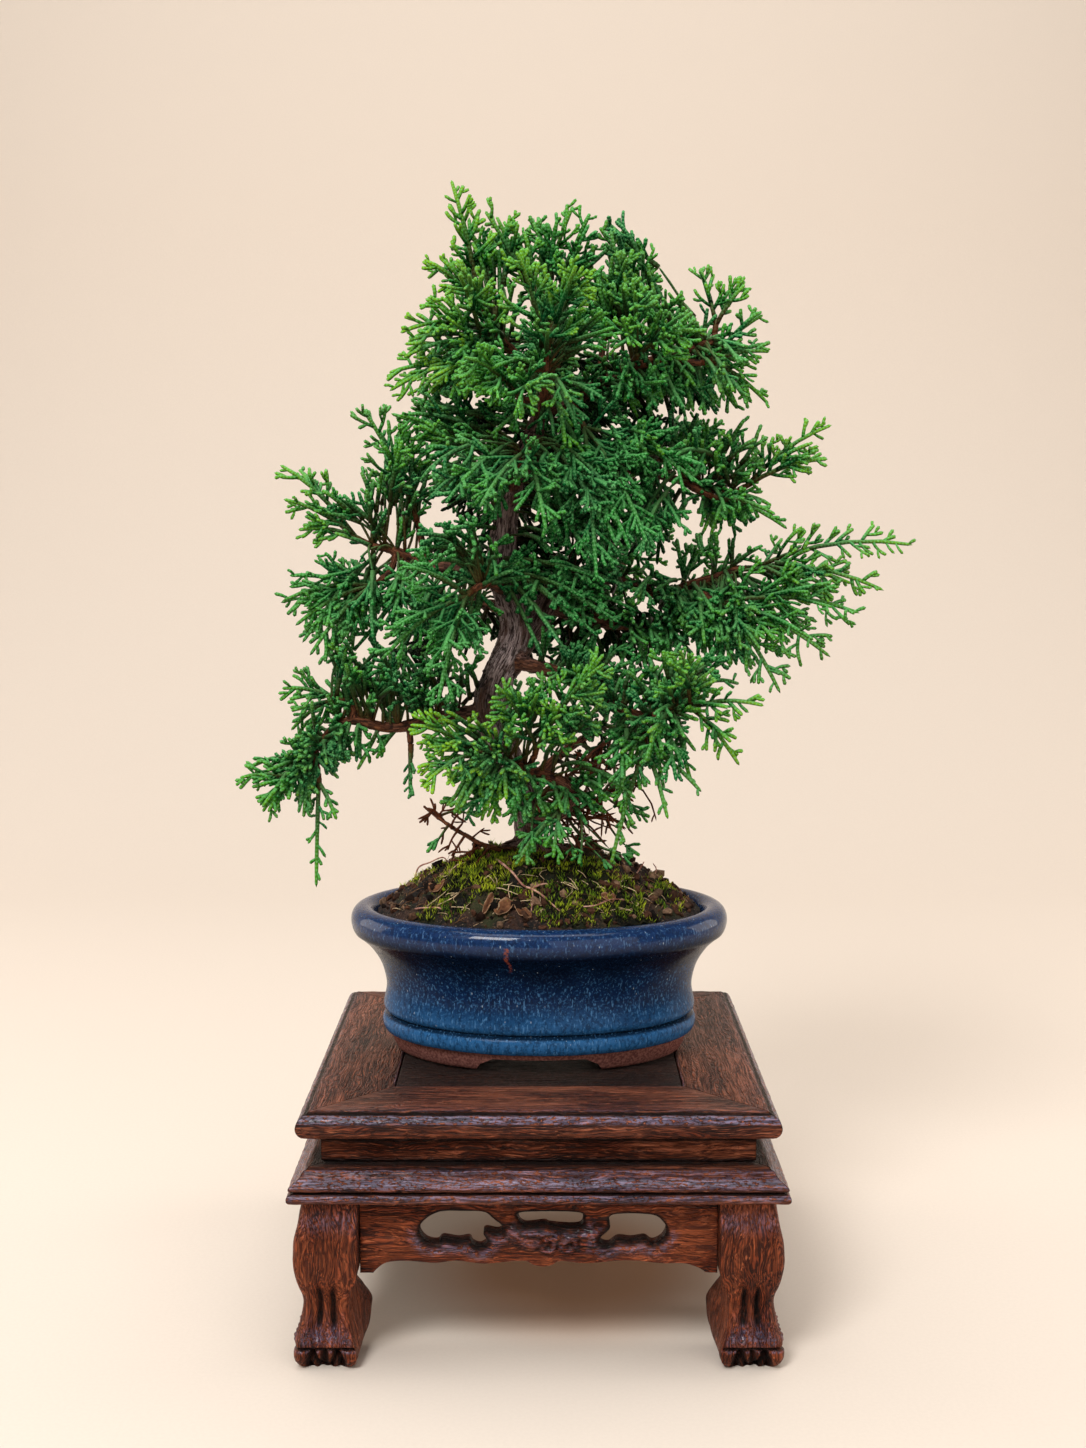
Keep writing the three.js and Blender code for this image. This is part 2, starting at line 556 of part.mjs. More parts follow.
function growSpray(spray, seed, others) {
  const draw = drawer(seed);
  const direction = sprayDirection(spray);
  const foot = vector(spray.base).addScaledVector(direction, seatGap);
  const crotch = foot.clone().addScaledVector(direction, stalkLength);
  const stalk = [station(foot, stemRadius), station(crotch, stemRadius)];
  const root = foot.clone().addScaledVector(direction, stalkLength - 1);
  const plumes = spray.tips.flatMap((tip) => growPlume(root, vector(tip), draw, others));
  return { stalk, direction, plumes };
}

// Each spray stays clear of the wood, of the other twigs and of the sprays grown before it
const sprayList = Object.entries(sprays);
const twigs = sprayList.map(([, spray]) => twigStations(spray));
const occupied = sprayList.map(() => []);
const wood = Object.values(limbs).flatMap(stretchesOf);

sprayList.forEach(([name, spray], order) => {
  const otherTwigs = twigs.filter((_, i) => i !== order).flatMap(stretchesOf);
  const others = [...wood, ...otherTwigs, ...occupied.flat()];
  const { stalk, direction, plumes } = growSpray(spray, 1000 + 37 * order, others);
  occupied[order] = [stalk, ...plumes].flatMap(stretchesOf);
  const cords = plumes.map((cord) => limbGeometry(cord, 3));
  const body = joined([limbGeometry(stalk, 3, direction), ...cords]);
  addPiece(`spray_${name}`, toGeometry(grownSolid(body)), finishes.foliage());
});

const woodPieces = Object.entries(limbs).map(([name, stations]) => limbGeometry(stations, limbSides[name] ?? 4));
const twigPieces = sprayList.map(([, spray], i) => squareEnded(twigs[i], sprayDirection(spray), 3));
addPiece('trunk', toGeometry(grownSolid(joined([...woodPieces, ...twigPieces]))), finishes.bark());

// The soil's surface: a mound that rises to the trunk, with lumps that fade out towards the rim
function groundHeight(x, y) {
  const reach = Math.min(1, Math.hypot(x / soilHalfLength, y / soilHalfDepth));
  const lumps = 0.9 * Math.sin(0.42 * x + 1) * Math.cos(0.51 * y) + 0.6 * Math.sin(0.83 * x - 0.6 * y + 2);
  return soilEdge + moundHeight * (1 - reach ** 2.2) + lumps * (1 - reach ** 4);
}

const soilWall = [
  [37.7, 24.7, potFloor + seatGap], [41.2, 27.8, 83.2], [41.2, 27.8, 91.8], [44.2, 30.4, 101],
  [soilHalfLength - 0.1, soilHalfDepth - 0.1, 111],
];
const soilSteps = [1, 0.86, 0.66, 0.45, 0.24];
const soilRings = [
  ...soilWall.map(([length, depth, height]) => ovalRing(length, depth, () => height)),
  ...soilSteps.map((step) => ovalRing(soilHalfLength * step - 0.1, soilHalfDepth * step - 0.1, groundHeight)),
];
const buriedLimbs = ['trunk', 'deadTwig', 'rootFront', 'rootLeft', 'rootRight', 'rootBack'];
const holes = joined(buriedLimbs.map((name) => limbGeometry(limbs[name], limbSides[name] ?? 4, null, seatGap)));
const mound = toSolid(loft(soilRings));
addPiece('soil', toGeometry(grownSolid(mound.subtract(holes))), finishes.soil());

// A cushion of moss that follows the ground in front of the trunk
const mossMiddle = [6, -17];
const mossReach = [24, 11];
const mossThickness = 1.8;
const mossSteps = [1, 0.7, 0.3];

function mossRing(step, lift) {
  const sides = 10;
  return Array.from({ length: sides }, (_, i) => {
    const angle = i / sides * 2 * Math.PI;
    const wave = 1 + 0.12 * Math.sin(3 * angle);
    const x = mossMiddle[0] + mossReach[0] * step * wave * Math.cos(angle);
    const y = mossMiddle[1] + mossReach[1] * step * wave * Math.sin(angle);
    return new THREE.Vector3(x, y, groundHeight(x, y) + lift);
  });
}

const mossRings = [
  ...[...mossSteps].reverse().map((step) => mossRing(step, -4)),
  ...mossSteps.map((step) => mossRing(step, mossThickness * (1.1 - step ** 2))),
];
const ground = toSolid(toGeometry(mound).translate(0, 0, seatGap + 0.1));
const cushion = toSolid(loft(mossRings)).subtract(ground).subtract(holes);
addPiece('moss_front', toGeometry(grownSolid(cushion)), finishes.moss());

// The origin is the middle of the space that the whole bonsai takes up, on the surface it stands on
const space = new THREE.Box3().setFromObject(bonsai);
const middle = space.getCenter(new THREE.Vector3());
bonsai.position.set(-middle.x, -middle.y, -space.min.z);
bonsai.updateMatrixWorld(true);

export default bonsai;
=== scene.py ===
"""A kishu juniper bonsai in an oval glazed pot on a carved display stand."""
import math
import random

import bpy
import numpy as np
from bpy.props import FloatProperty, FloatVectorProperty, IntProperty, PointerProperty
from mathutils import Matrix, Vector, kdtree, noise


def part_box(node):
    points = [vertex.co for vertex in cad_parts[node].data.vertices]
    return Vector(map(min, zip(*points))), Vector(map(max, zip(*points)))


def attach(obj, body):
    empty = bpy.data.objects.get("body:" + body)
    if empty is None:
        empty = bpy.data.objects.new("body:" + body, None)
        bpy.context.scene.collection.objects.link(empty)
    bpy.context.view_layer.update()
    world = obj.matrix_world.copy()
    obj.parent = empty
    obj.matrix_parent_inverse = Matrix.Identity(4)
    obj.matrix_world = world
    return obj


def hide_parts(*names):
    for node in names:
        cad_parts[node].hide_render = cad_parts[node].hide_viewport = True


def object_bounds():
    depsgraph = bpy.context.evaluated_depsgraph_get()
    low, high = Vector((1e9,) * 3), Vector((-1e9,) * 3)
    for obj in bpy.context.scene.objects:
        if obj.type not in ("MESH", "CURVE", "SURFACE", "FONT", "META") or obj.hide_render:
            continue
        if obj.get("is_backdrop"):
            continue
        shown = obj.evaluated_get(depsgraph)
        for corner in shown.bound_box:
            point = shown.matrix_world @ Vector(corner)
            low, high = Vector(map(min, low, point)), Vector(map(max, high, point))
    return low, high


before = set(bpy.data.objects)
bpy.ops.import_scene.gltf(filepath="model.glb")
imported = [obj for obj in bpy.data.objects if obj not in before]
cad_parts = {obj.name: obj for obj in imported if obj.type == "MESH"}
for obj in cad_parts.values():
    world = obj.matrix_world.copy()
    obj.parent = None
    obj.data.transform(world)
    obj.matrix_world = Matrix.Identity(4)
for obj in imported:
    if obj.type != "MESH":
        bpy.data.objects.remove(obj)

bl_info = {
    "name": "Juniper bonsai",
    "version": (1, 0, 0),
    "blender": (4, 5, 0),
    "location": "3D View > Sidebar > Bonsai",
    "description": "Dresses the juniper bonsai, its glazed pot and its carved stand",
    "category": "Object",
}

START_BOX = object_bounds()
MM = 0.001
PANEL_LOW, PANEL_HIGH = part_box("top_panel")
STAND_MIDDLE = Vector(((PANEL_LOW.x + PANEL_HIGH.x) / 2, (PANEL_LOW.y + PANEL_HIGH.y) / 2, 0))

# Sizes in millimetres, measured from the middle of the stand and up from the surface it stands on
LIMBS = {
    "trunk": [
        (0.5, 1, 105, 6), (-0.5, 0.5, 121, 6.4), (-2, 0, 129.5, 5.6), (-3, -0.5, 135, 4.2),
        (-4.6, -1, 146, 3.9), (-9, -2, 158, 4.1), (-13.4, -2.5, 168, 4.6), (-14.6, -2.5, 176, 4.9),
        (-12, -2, 184, 4.6), (-8.2, -1, 191, 4.9), (-6.8, 0, 198, 4.7), (-8.5, 0.5, 206, 4.2),
        (-11.5, 1, 213.5, 3.7), (-10.5, 1, 224, 3.5), (-8.6, 0.5, 237, 3.3), (-5.5, 0, 246, 3),
        (-1.5, 0, 254, 2.7), (1.5, 0, 262, 2.4), (3, 1, 272, 1.9), (2, 2, 284, 1.4),
    ],
    "rightStem": [(-9, 0, 187, 3.4), (-1.5, 2, 198, 3.6), (3.8, 4, 208, 3), (9, 6, 215, 2.4)],
    "rightMain": [
        (7, 5, 213, 2.4), (22, 5, 212, 2), (35.5, 3, 207.5, 1.7), (46, 2, 210.5, 1.5), (57, 1, 214, 1.2),
    ],
    "rightLow": [(2, 4, 204, 2.2), (14, 4, 200, 1.9), (24.4, 2, 198.5, 1.7), (38.5, -1, 199, 1.3)],
    "rightMid": [
        (-6, 0, 244, 2.2), (6, 3, 247, 1.9), (20, 4, 245.5, 1.6), (32, 3, 243, 1.4), (42, 2, 240.5, 1.2),
        (56, 1, 236.5, 1),
    ],
    "upperRight": [
        (1.5, 0, 261, 2.2), (10.5, -1, 264.5, 2), (19, -2, 269, 1.9), (27.7, -3, 273.4, 1.6),
        (39, -3, 276.5, 1.3), (48, -2, 280.5, 1.1),
    ],
    "apexLeft": [(2.5, 1, 268, 1.7), (-5, -2, 275, 1.5), (-13, -3, 283, 1.1)],
    "frontUpper": [(0, 0, 258, 2), (2, -9, 264, 1.6), (2, -18, 271, 1.2)],
    "frontMiddle": [(-8, 0, 238, 2), (-6, -10, 244, 1.6), (-3, -17, 249, 1.2)],
    "backUpper": [(1.5, 1, 264, 1.8), (4, 12, 271, 1.5), (6, 23, 277, 1.1)],
    "backHigh": [(-9, 1, 232, 2), (-11, 14, 238, 1.6), (-13, 27, 242, 1.1)],
    "backRight": [(7, 6, 213, 2), (15, 18, 214, 1.5), (23, 31, 215, 1.1)],
    "backLeft": [(-9, 1, 203, 2.2), (-16, 14, 204, 1.7), (-24, 27, 204, 1.1)],
    "backLow": [(-5, 0, 149, 2), (6, 10, 158, 1.5), (17, 22, 164, 1.1)],
    "frontRight": [
        (-8, -2, 188, 2.4), (5, -10, 185, 2), (18, -17, 178.5, 1.8), (29, -22, 173.5, 1.5),
        (38, -27, 175.5, 1.1),
    ],
    "frontLow": [
        (-4, -2, 141, 2.4), (4, -7, 142, 2.2), (10.5, -11, 148.5, 2.1), (6, -15, 154, 1.8),
        (-4, -19, 158, 1.4),
        (-12, -22, 162, 1.1),
    ],
    "leftMain": [
        (-11, 1, 212, 2.4), (-22, 0, 214.5, 2), (-33.5, 0, 216, 1.7), (-42, 0, 220, 1.4),
        (-49, 0, 221.5, 1.1),
    ],
    "leftFront": [(-10, 0, 209, 2.2), (-14, -10, 211, 1.6), (-17, -17, 210, 1.1)],
    "leftLow": [
        (-14, -2, 173, 2.4), (-24, -2, 172, 2.1), (-39, -1, 168.5, 1.8), (-46.5, -1, 168, 1.6),
        (-56, -1, 170, 1.4), (-62.5, -1, 166.5, 1.2), (-67, -1, 160, 1), (-70, -1, 155.5, 0.9),
    ],
    "deadTwig": [
        (-4, -1, 130, 1.2), (-15, -4, 132.5, 0.9), (-22, -4, 136, 0.8), (-28, -5, 140, 0.7),
        (-34.5, -5, 145, 0.6),
    ],
    "bareTwigLow": [(-3, 1, 139, 1.6), (8, 4, 141.5, 1.2), (20, 4, 147, 1), (26, 2, 157, 0.8)],
    "bareTwigHigh": [(-4, 1, 146, 1.4), (6, 3, 150, 1.1), (14, 2, 158, 0.9), (24, 4, 166, 0.8)],
    "rootFront": [(-2, -1, 132, 3), (2, -10, 128.5, 2), (6, -19, 119, 0.9)],
    "rootLeft": [(-3, 0, 132.5, 3.2), (-12, 1, 129.5, 2.2), (-23, 3, 119, 0.9)],
    "rootRight": [(-1, 0, 132, 3), (9, 2, 128.5, 2), (18, 4, 119, 0.9)],
    "rootBack": [(-2, 1, 132, 3), (-1, 10, 128.5, 2), (1, 19, 118, 0.9)],
}

# The upper and the middle stretch of the trunk, from which inner twigs grow
LIMBS_OF_TRUNK = {"trunkTop": (14, 20), "trunkMiddle": (11, 17)}

# Each spray: its limb, the joint on it, where its twig ends, its plume tips, and how fresh its growth is
SPRAYS = {
    "top_spire": ("apexLeft", 2, (-16, -3, 289), [(-25.3, 0, 326.4), (-33, -6, 303)], 0.8),
    "top_centre": ("trunk", 19, (1, 2, 290), [(0.3, 4, 316.5), (-9, 8, 310), (9.8, -2, 318.8)], 0.3),
    "top_right": ("upperRight", 2, (19, 1, 281), [(22, 2, 313.7), (25, -12, 303), (35, 2, 302.4)], 0.4),
    "right_crest": ("upperRight", 5, (51, -2, 283), [(59.7, 0, 296.8), (47, 6, 302)], 0.5),
    "right_shoulder": (
        "upperRight", 4, (47, -7, 274), [(64.2, -7, 287.4), (65.8, -10, 276.8), (66.8, -2, 262.5)], 0.35,
    ),
    "left_crown": (
        "apexLeft", 1, (-13, -4, 274), [(-31, -12, 292), (-39, -2, 279.7), (-44, 4, 266.8),
        (-22, -28, 296)], 0.6,
    ),
    "front_crown": ("frontUpper", 2, (2, -21, 274), [(-6, -40, 300), (12, -42, 296)], 0.65),
    "front_crown_low": ("frontUpper", 1, (-5, -17, 263), [(-20, -42, 272), (-2, -48, 262)], 0.4),
    "front_right_crown": ("upperRight", 3, (27, -13, 274), [(26, -38, 290), (42, -36, 280)], 0.35),
    "back_crown": ("backUpper", 2, (6.5, 26, 279), [(0, 40, 303), (20, 44, 298), (-20, 40, 284)], 0.3),
    "right_plume_high": ("rightMid", 5, (59, 1, 238), [(85.6, 0, 256.7), (83.8, -5, 246.6)], 0.6),
    "right_plume_mid": ("rightMid", 4, (50, -6, 236), [(67.9, -12, 230.6), (72.3, -5, 226.5)], 0.25),
    "right_back_high": ("rightMid", 3, (37, 11, 247), [(56, 20, 256), (48, 32, 246)], 0.25),
    "long_right": ("rightMain", 4, (61, 0.5, 215), [(110.1, 0, 221.8), (100.7, -6, 208.6)], 0.6),
    "right_low": (
        "rightMain", 3, (51, -6, 206), [(93.4, -8, 202.1), (84.8, -10, 189.4), (70.1, -12, 179)], 0.3,
    ),
    "right_back": ("rightMain", 2, (41, 13, 207), [(62, 28, 204), (54, 34, 222)], 0.25),
    "front_right": (
        "frontRight", 4, (41, -28.5, 176.5), [(56.2, -32, 160.6), (62, -38, 178), (38, -48, 194)], 0.6,
    ),
    "front_right_hang": (
        "frontRight", 3, (30, -25, 167), [(45.4, -34, 153.4), (36, -36, 146), (20.5, -26, 131)], 0.3,
    ),
    "low_front": ("frontLow", 5, (-15, -23, 163.5), [(-36, -32, 172), (-33, -36, 155)], 1.0),
    "low_front_drop": ("frontLow", 2, (7, -17, 147), [(-6.8, -26, 131), (4, -26, 133)], 0.3),
    "centre_front": ("frontLow", 4, (-1, -24, 163), [(-12, -40, 184), (6, -44, 176), (18, -42, 190)], 0.5),
    "left_plume": (
        "leftMain", 4, (-52, 0, 223), [(-75.9, 0, 245.1), (-74, -7, 235), (-70.3, -4, 226.2)], 0.45,
    ),
    "left_upper": ("leftMain", 2, (-36, 1, 229), [(-51.7, -2, 261.6), (-38, 10, 254)], 0.3),
    "left_under": (
        "leftMain", 3, (-47, -4, 211), [(-75.1, -4, 205.6), (-71, -8, 198.5), (-66.4, -12, 190)], 0.2,
    ),
    "left_front_fan": (
        "leftFront", 2, (-19, -20, 209), [(-44, -32, 190), (-28, -38, 178), (-38, -34, 216)], 0.1,
    ),
    "lower_left_top": (
        "leftLow", 4, (-58, -2, 176), [(-76.1, -2, 179.6), (-56, -10, 190), (-75, 8, 166)], 0.35,
    ),
    "lower_left_end": ("leftLow", 7, (-72, -1, 153.5), [(-89.4, 0, 152.6), (-82.1, -4, 142.9)], 0.35),
    "lower_left_hang": ("leftLow", 6, (-65.5, -4, 154), [(-66.5, -4, 120.1), (-59.6, -9, 141.4)], 0.3),
    "lower_left_sprig": ("leftLow", 2, (-38, -4, 163), [(-38, -6, 147.4)], 0.1),
    "centre_hang": (
        "upperRight", 1, (12, -11, 257), [(16, -34, 212), (30, -34, 222), (46, -26, 238)], 0.05,
    ),
    "centre_left": ("frontMiddle", 2, (-3, -20, 250), [(-16, -40, 232), (2, -44, 226)], 0.15),
    "back_high": ("backHigh", 2, (-14, 30, 243), [(-34, 44, 252), (-8, 54, 238)], 0.25),
    "back_right": ("backRight", 2, (25, 34, 215.5), [(42, 46, 228), (28, 56, 204)], 0.25),
    "back_left": ("backLeft", 2, (-27, 30, 204), [(-48, 40, 212), (-28, 54, 194), (-50, 42, 182)], 0.25),
    "back_low": ("backLow", 2, (19, 25, 165), [(36, 38, 158), (24, 44, 176)], 0.2),
}

# How far the side shoots of a slender spray reach, next to an ordinary one
SLENDER = {
    "long_right": 0.55, "right_plume_mid": 0.42, "right_plume_high": 0.7, "left_plume": 0.75,
    "lower_left_hang": 0.35, "top_spire": 0.7, "right_crest": 0.8, "right_shoulder": 0.75, "front_right": 0.7,
    "lower_left_sprig": 0.6, "low_front_drop": 0.7, "front_right_hang": 0.4,
}

# Each pad of inner growth: its limbs, its middle, its reach each way, its plumes, its freshness and its
# droop; a negative freshness paints the pad as dark old growth in painted shade
PADS = {
    "crown": (
        ("trunkTop", "upperRight", "apexLeft", "frontUpper", "backUpper", "rightMid"),
        (14, 0, 268), (47, 44, 34), 205, 0.3, 0,
    ),
    "crown_heart": (("upperRight", "trunkTop", "rightMid"), (26, 0, 269), (24, 20, 12), 42, 0.25, 0),
    "high_side": (("rightMid", "upperRight"), (54, -4, 252), (12, 10, 11), 24, 0.3, 0),
    "heart": (("trunkMiddle", "frontMiddle", "leftFront"), (-6, -13, 226), (24, 9, 17), 42, 0.1, 0.5),
    "elbow": (("rightMid", "rightMain"), (60, -2, 225), (10, 10, 8), 12, 0.25, 0),
    "inner_right": (("rightLow", "rightMain", "frontRight"), (23, -9, 200), (24, 12, 13), 44, 0.1, 0.4),
    "inner_left": (("leftFront", "leftLow", "leftMain"), (-40, -8, 192), (24, 15, 14), 44, 0.15, 0.4),
    "veil": (
        ("rightMain", "rightLow", "frontMiddle", "rightMid"), (13, -17, 214), (18, 7, 18), 30, 0.05, 0.8,
    ),
    "right_heart": (("upperRight", "rightMid"), (45, -2, 263), (14, 15, 11), 18, 0.3, 0),
    "left_heart": (("trunkTop", "apexLeft", "leftMain"), (-24, 0, 262), (14, 15, 11), 20, 0.4, 0),
    "right_hollow": (("frontRight", "rightLow"), (22, -14, 189), (19, 8, 10), 26, 0.15, 0.3),
    "low_wrist": (("leftLow",), (-55, -4, 161), (9, 8, 7), 12, 0.3, 0.3),
    "low_fingers": (("leftLow",), (-75, -4, 147), (10, 7, 7), 16, 0.35, 0.4),
    "front_hollow": (("frontLow", "frontRight"), (25, -24, 158), (13, 10, 10), 15, 0.2, 0.6),
    "front_drop": (("frontLow",), (8, -18, 147), (14, 8, 8), 12, 0.2, 0.8),
    "front_edge": (("frontLow",), (-20, -25, 149), (9, 8, 9), 18, 0.5, 0.6),
    "front_apron": (("frontLow",), (-9, -27, 160), (16, 7, 11), 18, 0.75, 0.2),
    "front_bib": (("frontLow",), (-2, -22, 147), (12, 6, 8), 12, 0.3, 0.6),
    "right_cover": (("frontRight", "rightLow"), (18, -27, 182), (18, 7, 10), 18, 0.3, 0.2),
    "right_ridge": (("rightLow", "rightMain"), (34, -12, 206), (16, 8, 8), 10, 0.2, 0.3),
    "left_cover": (("leftLow", "leftFront"), (-32, -16, 184), (16, 8, 12), 16, 0.1, 0.5),
    "low_palm": (("leftLow",), (-68, -5, 157), (9, 7, 8), 18, 0.3, 0.3),
    "elbow_fill": (("rightMid", "rightMain"), (53, -3, 231), (7, 8, 8), 12, 0.3, 0.2),
    "right_wrist": (("rightMain",), (42, -6, 203), (10, 8, 8), 10, 0.25, 0.2),
    "top_gap": (("apexLeft", "trunkTop"), (-12, 2, 312), (9, 10, 7), 13, 0.5, 0),
    "right_palm": (("frontRight", "rightMain"), (44, -12, 190), (9, 9, 9), 20, 0.3, 0.2),
    "right_knuckle": (("frontRight",), (38, -22, 177), (9, 8, 9), 14, 0.4, 0.2),
    "left_knuckle": (("leftLow",), (-66, -3, 163), (8, 7, 7), 18, 0.3, 0.3),
    "top_step": (("trunkTop", "upperRight"), (17, 0, 312), (9, 9, 7), 10, 0.4, 0),
    "right_hem": (("rightMain",), (57, -6, 190), (9, 8, 7), 11, 0.25, 0.3),
    "deep_crown": (("trunkTop", "backUpper", "upperRight"), (12, 16, 262), (42, 14, 28), 66, -1, 0),
    "deep_middle": (
        ("trunkMiddle", "backHigh", "leftMain", "rightMid"), (0, 18, 226), (41, 12, 24), 64, -1, 0.2,
    ),
    "deep_low": (("backLeft", "backRight", "leftLow", "rightLow"), (-2, 16, 190), (48, 12, 16), 66, -1, 0.2),
    "deep_foot": (("backLow", "frontLow"), (8, 8, 158), (28, 12, 14), 14, -1, 0.3),
    "deep_heart": (("trunkMiddle", "backHigh"), (9, 11, 231), (18, 7, 17), 16, -1, 0.1),
    "left_corner": (("leftMain",), (-45, -4, 236), (11, 9, 10), 9, 0.3, 0),
    "right_corner": (("rightMid", "upperRight"), (51, -4, 236), (12, 12, 12), 7, 0.2, 0.2),
    "left_gap": (("leftLow", "leftMain"), (-50, -4, 186), (12, 10, 8), 12, 0.2, 0.2),
    "apex": (("apexLeft",), (-21, 0, 298), (10, 12, 14), 10, 0.7, 0),
    "top_middle": (("trunkTop",), (5, 4, 305), (15, 14, 12), 17, 0.3, 0),
    "top_right": (("upperRight",), (25, 0, 299), (10, 14, 11), 18, 0.4, 0),
    "crest": (("upperRight",), (50, -2, 286), (12, 14, 10), 12, 0.5, 0),
    "shoulder": (("upperRight", "rightMid"), (52, -4, 265), (10, 14, 13), 13, 0.35, 0),
    "left_crown": (("apexLeft", "trunkTop"), (-27, -6, 278), (14, 20, 16), 21, 0.7, 0),
    "left_shoulder": (("leftMain", "trunkMiddle"), (-34, 0, 250), (18, 20, 15), 32, 0.3, 0),
    "left_arm": (("leftMain",), (-56, -2, 233), (15, 9, 8), 6, 0.4, 0),
    "left_chest": (("leftFront", "frontMiddle"), (-22, -24, 226), (20, 16, 22), 28, 0.15, 0.6),
    "left_low": (("leftMain",), (-54, -4, 197), (18, 13, 9), 9, 0.2, 0.4),
    "chest": (("frontMiddle", "rightMid", "upperRight"), (24, -24, 232), (26, 14, 22), 26, 0.05, 1),
    "right_arm": (("rightMid",), (56, 0, 238), (13, 14, 14), 10, 0.3, 0),
    "right_back": (("rightMain", "rightMid"), (44, 6, 221), (20, 20, 15), 4, 0.2, 0.3),
    "long_arm": (("rightMain",), (82, -2, 209), (16, 8, 6), 8, 0.5, 0),
    "right_low": (("rightMain",), (60, -6, 196), (18, 12, 10), 24, 0.25, 0.3),
    "right_skirt": (("rightMain", "frontRight"), (50, -8, 188), (14, 14, 10), 20, 0.25, 0.6),
    "front_right": (("frontRight",), (34, -34, 180), (18, 12, 14), 18, 0.6, 0),
    "front_skirt": (("frontRight",), (36, -30, 160), (14, 10, 12), 9, 0.3, 0.8),
    "front_low": (("frontLow",), (4, -32, 176), (18, 12, 13), 17, 0.4, 0),
    "front_left": (("frontLow",), (-24, -28, 166), (14, 10, 10), 13, 1.0, 0),
    "low_arm": (("leftLow",), (-48, -6, 182), (16, 12, 10), 21, 0.25, 0),
    "low_elbow": (("leftLow",), (-64, -2, 170), (11, 10, 10), 10, 0.3, 0),
    "low_hand": (("leftLow",), (-79, -2, 153), (10, 8, 8), 8, 0.35, 0),
    "back_left": (("backHigh", "backLeft"), (-20, 36, 236), (24, 16, 28), 23, 0.25, 0),
    "back_right": (("backUpper", "backRight"), (24, 38, 236), (24, 14, 28), 23, 0.25, 0),
    "back_low": (("backLow", "backRight", "backLeft"), (8, 34, 190), (28, 14, 22), 18, 0.2, 0.3),
}

# Each whip over the trunk: where it leaves the wood and where it ends
WHIPS = [
    ((-10, -3, 217), (11, -20, 200)), ((-10, -3, 216), (17, -22, 196)), ((-10, -3, 215), (20, -18, 204)),
    ((-9, -3, 217), (25, -20, 210)), ((-11, -3, 214), (6, -22, 194)), ((-10, -3, 214), (13, -24, 207)),
    ((-10, -3, 215), (23, -24, 200)), ((-11, -3, 213), (1, -20, 190)), ((-10, -3, 218), (16, -22, 213)),
    ((-9, -3, 213), (9, -18, 189)), ((-9, -3, 216), (28, -17, 203)),
]

# Each fine twig: its ends, its radius, and whether green growth ends it
TWIGLETS = [
    ((-30.4, -5, 141), (-21, -7, 143), 0.5, True), ((-27, -5, 139), (-30, -8, 135), 0.46, True),
    ((-24.8, -5, 137.5), (-22.5, -7, 141), 0.44, False), ((-22, -4, 136), (-26, -6, 130), 0.42, False),
    ((-19, -4, 134), (-23, -8, 127), 0.44, False), ((-26, -5, 138), (-23, -9, 144), 0.4, False),
    ((-32, -5, 143), (-34, -6, 140), 0.5, False), ((-15, -4, 132.5), (-19, -10, 128), 0.5, False),
    ((-28, -5, 140), (-33, -7, 144.5), 0.46, False), ((-24, -5, 137.5), (-27, -8, 132), 0.42, False),
    ((-20, -4.5, 135), (-16, -9, 139), 0.42, False), ((-30, -5, 142), (-27, -6, 147), 0.42, False),
    ((-17, -4, 133), (-22, -9, 131), 0.46, False), ((20, 4, 147), (29, 0, 142), 0.44, True),
    ((18, 4, 146), (26, -6, 133), 0.42, True), ((8, 4, 141.5), (19, -14, 130), 0.42, True),
    ((6, -15, 154), (-2, -24, 140), 0.5, True), ((10.5, -11, 148.5), (12, -20, 133), 0.5, True),
]

# The box in which the bare twigs of the lowest branches end
TANGLE = ((6, -20, 130), (36, 4, 162))

TANGLE_TWIGS = 44

SEAT_GAP = 0.3
CORD_RADIUS = 0.95
STEM_RADIUS = 1.15
SHOOT_SPACING = 10.3
TWIG_RADIUS = 1.0
STALK_LENGTH = 3.0
SHORTEST_PLUME = 11
LONGEST_PLUME = 27.0

# Where each run of draws starts, so that the bonsai grows the same each time
SOLID_SEED, SPRAY_SEED, PAD_SEED, WHIP_SEED, TANGLE_SEED = 1000, 7100, 9300, 8800, 8900
CRUMB_SEED, LITTER_SEED, MOSS_SEED, DENT_SEED = 41, 43, 47, 53


# ---- Shared making of meshes ----


def placed(points):
    """Points in millimetres from the middle of the stand, as metres in the frame."""
    return np.asarray(points, float) * MM + np.array(STAND_MIDDLE)


def deselect():
    if bpy.context.mode != "OBJECT":
        bpy.ops.object.mode_set(mode="OBJECT")
    bpy.ops.object.select_all(action="DESELECT")


def pick(*objects):
    """Selects the objects and makes the last of them active."""
    deselect()
    for obj in objects:
        obj.select_set(True)
    bpy.context.view_layer.objects.active = objects[-1]


def new_mesh(name, points, faces, material, smooth=True):
    """A piece from points in the frame and from arrays of faces, one array for each number of corners."""
    mesh = bpy.data.meshes.new(name)
    arrays = [np.asarray(block, np.int32) for block in faces if len(block)]
    corners = np.concatenate([block.ravel() for block in arrays])
    sizes = np.concatenate([np.full(len(block), block.shape[1], np.int32) for block in arrays])
    mesh.vertices.add(len(points))
    mesh.vertices.foreach_set("co", np.asarray(points, np.float32).ravel())
    mesh.loops.add(len(corners))
    mesh.loops.foreach_set("vertex_index", corners)
    mesh.polygons.add(len(sizes))
    mesh.polygons.foreach_set("loop_start", np.concatenate([[0], np.cumsum(sizes)[:-1]]).astype(np.int32))
    mesh.polygons.foreach_set("use_smooth", np.full(len(sizes), smooth))
    mesh.update(calc_edges=True)
    mesh.validate()
    piece = bpy.data.objects.new(name, mesh)
    bpy.context.scene.collection.objects.link(piece)
    if material:
        piece.data.materials.append(material)
    return piece


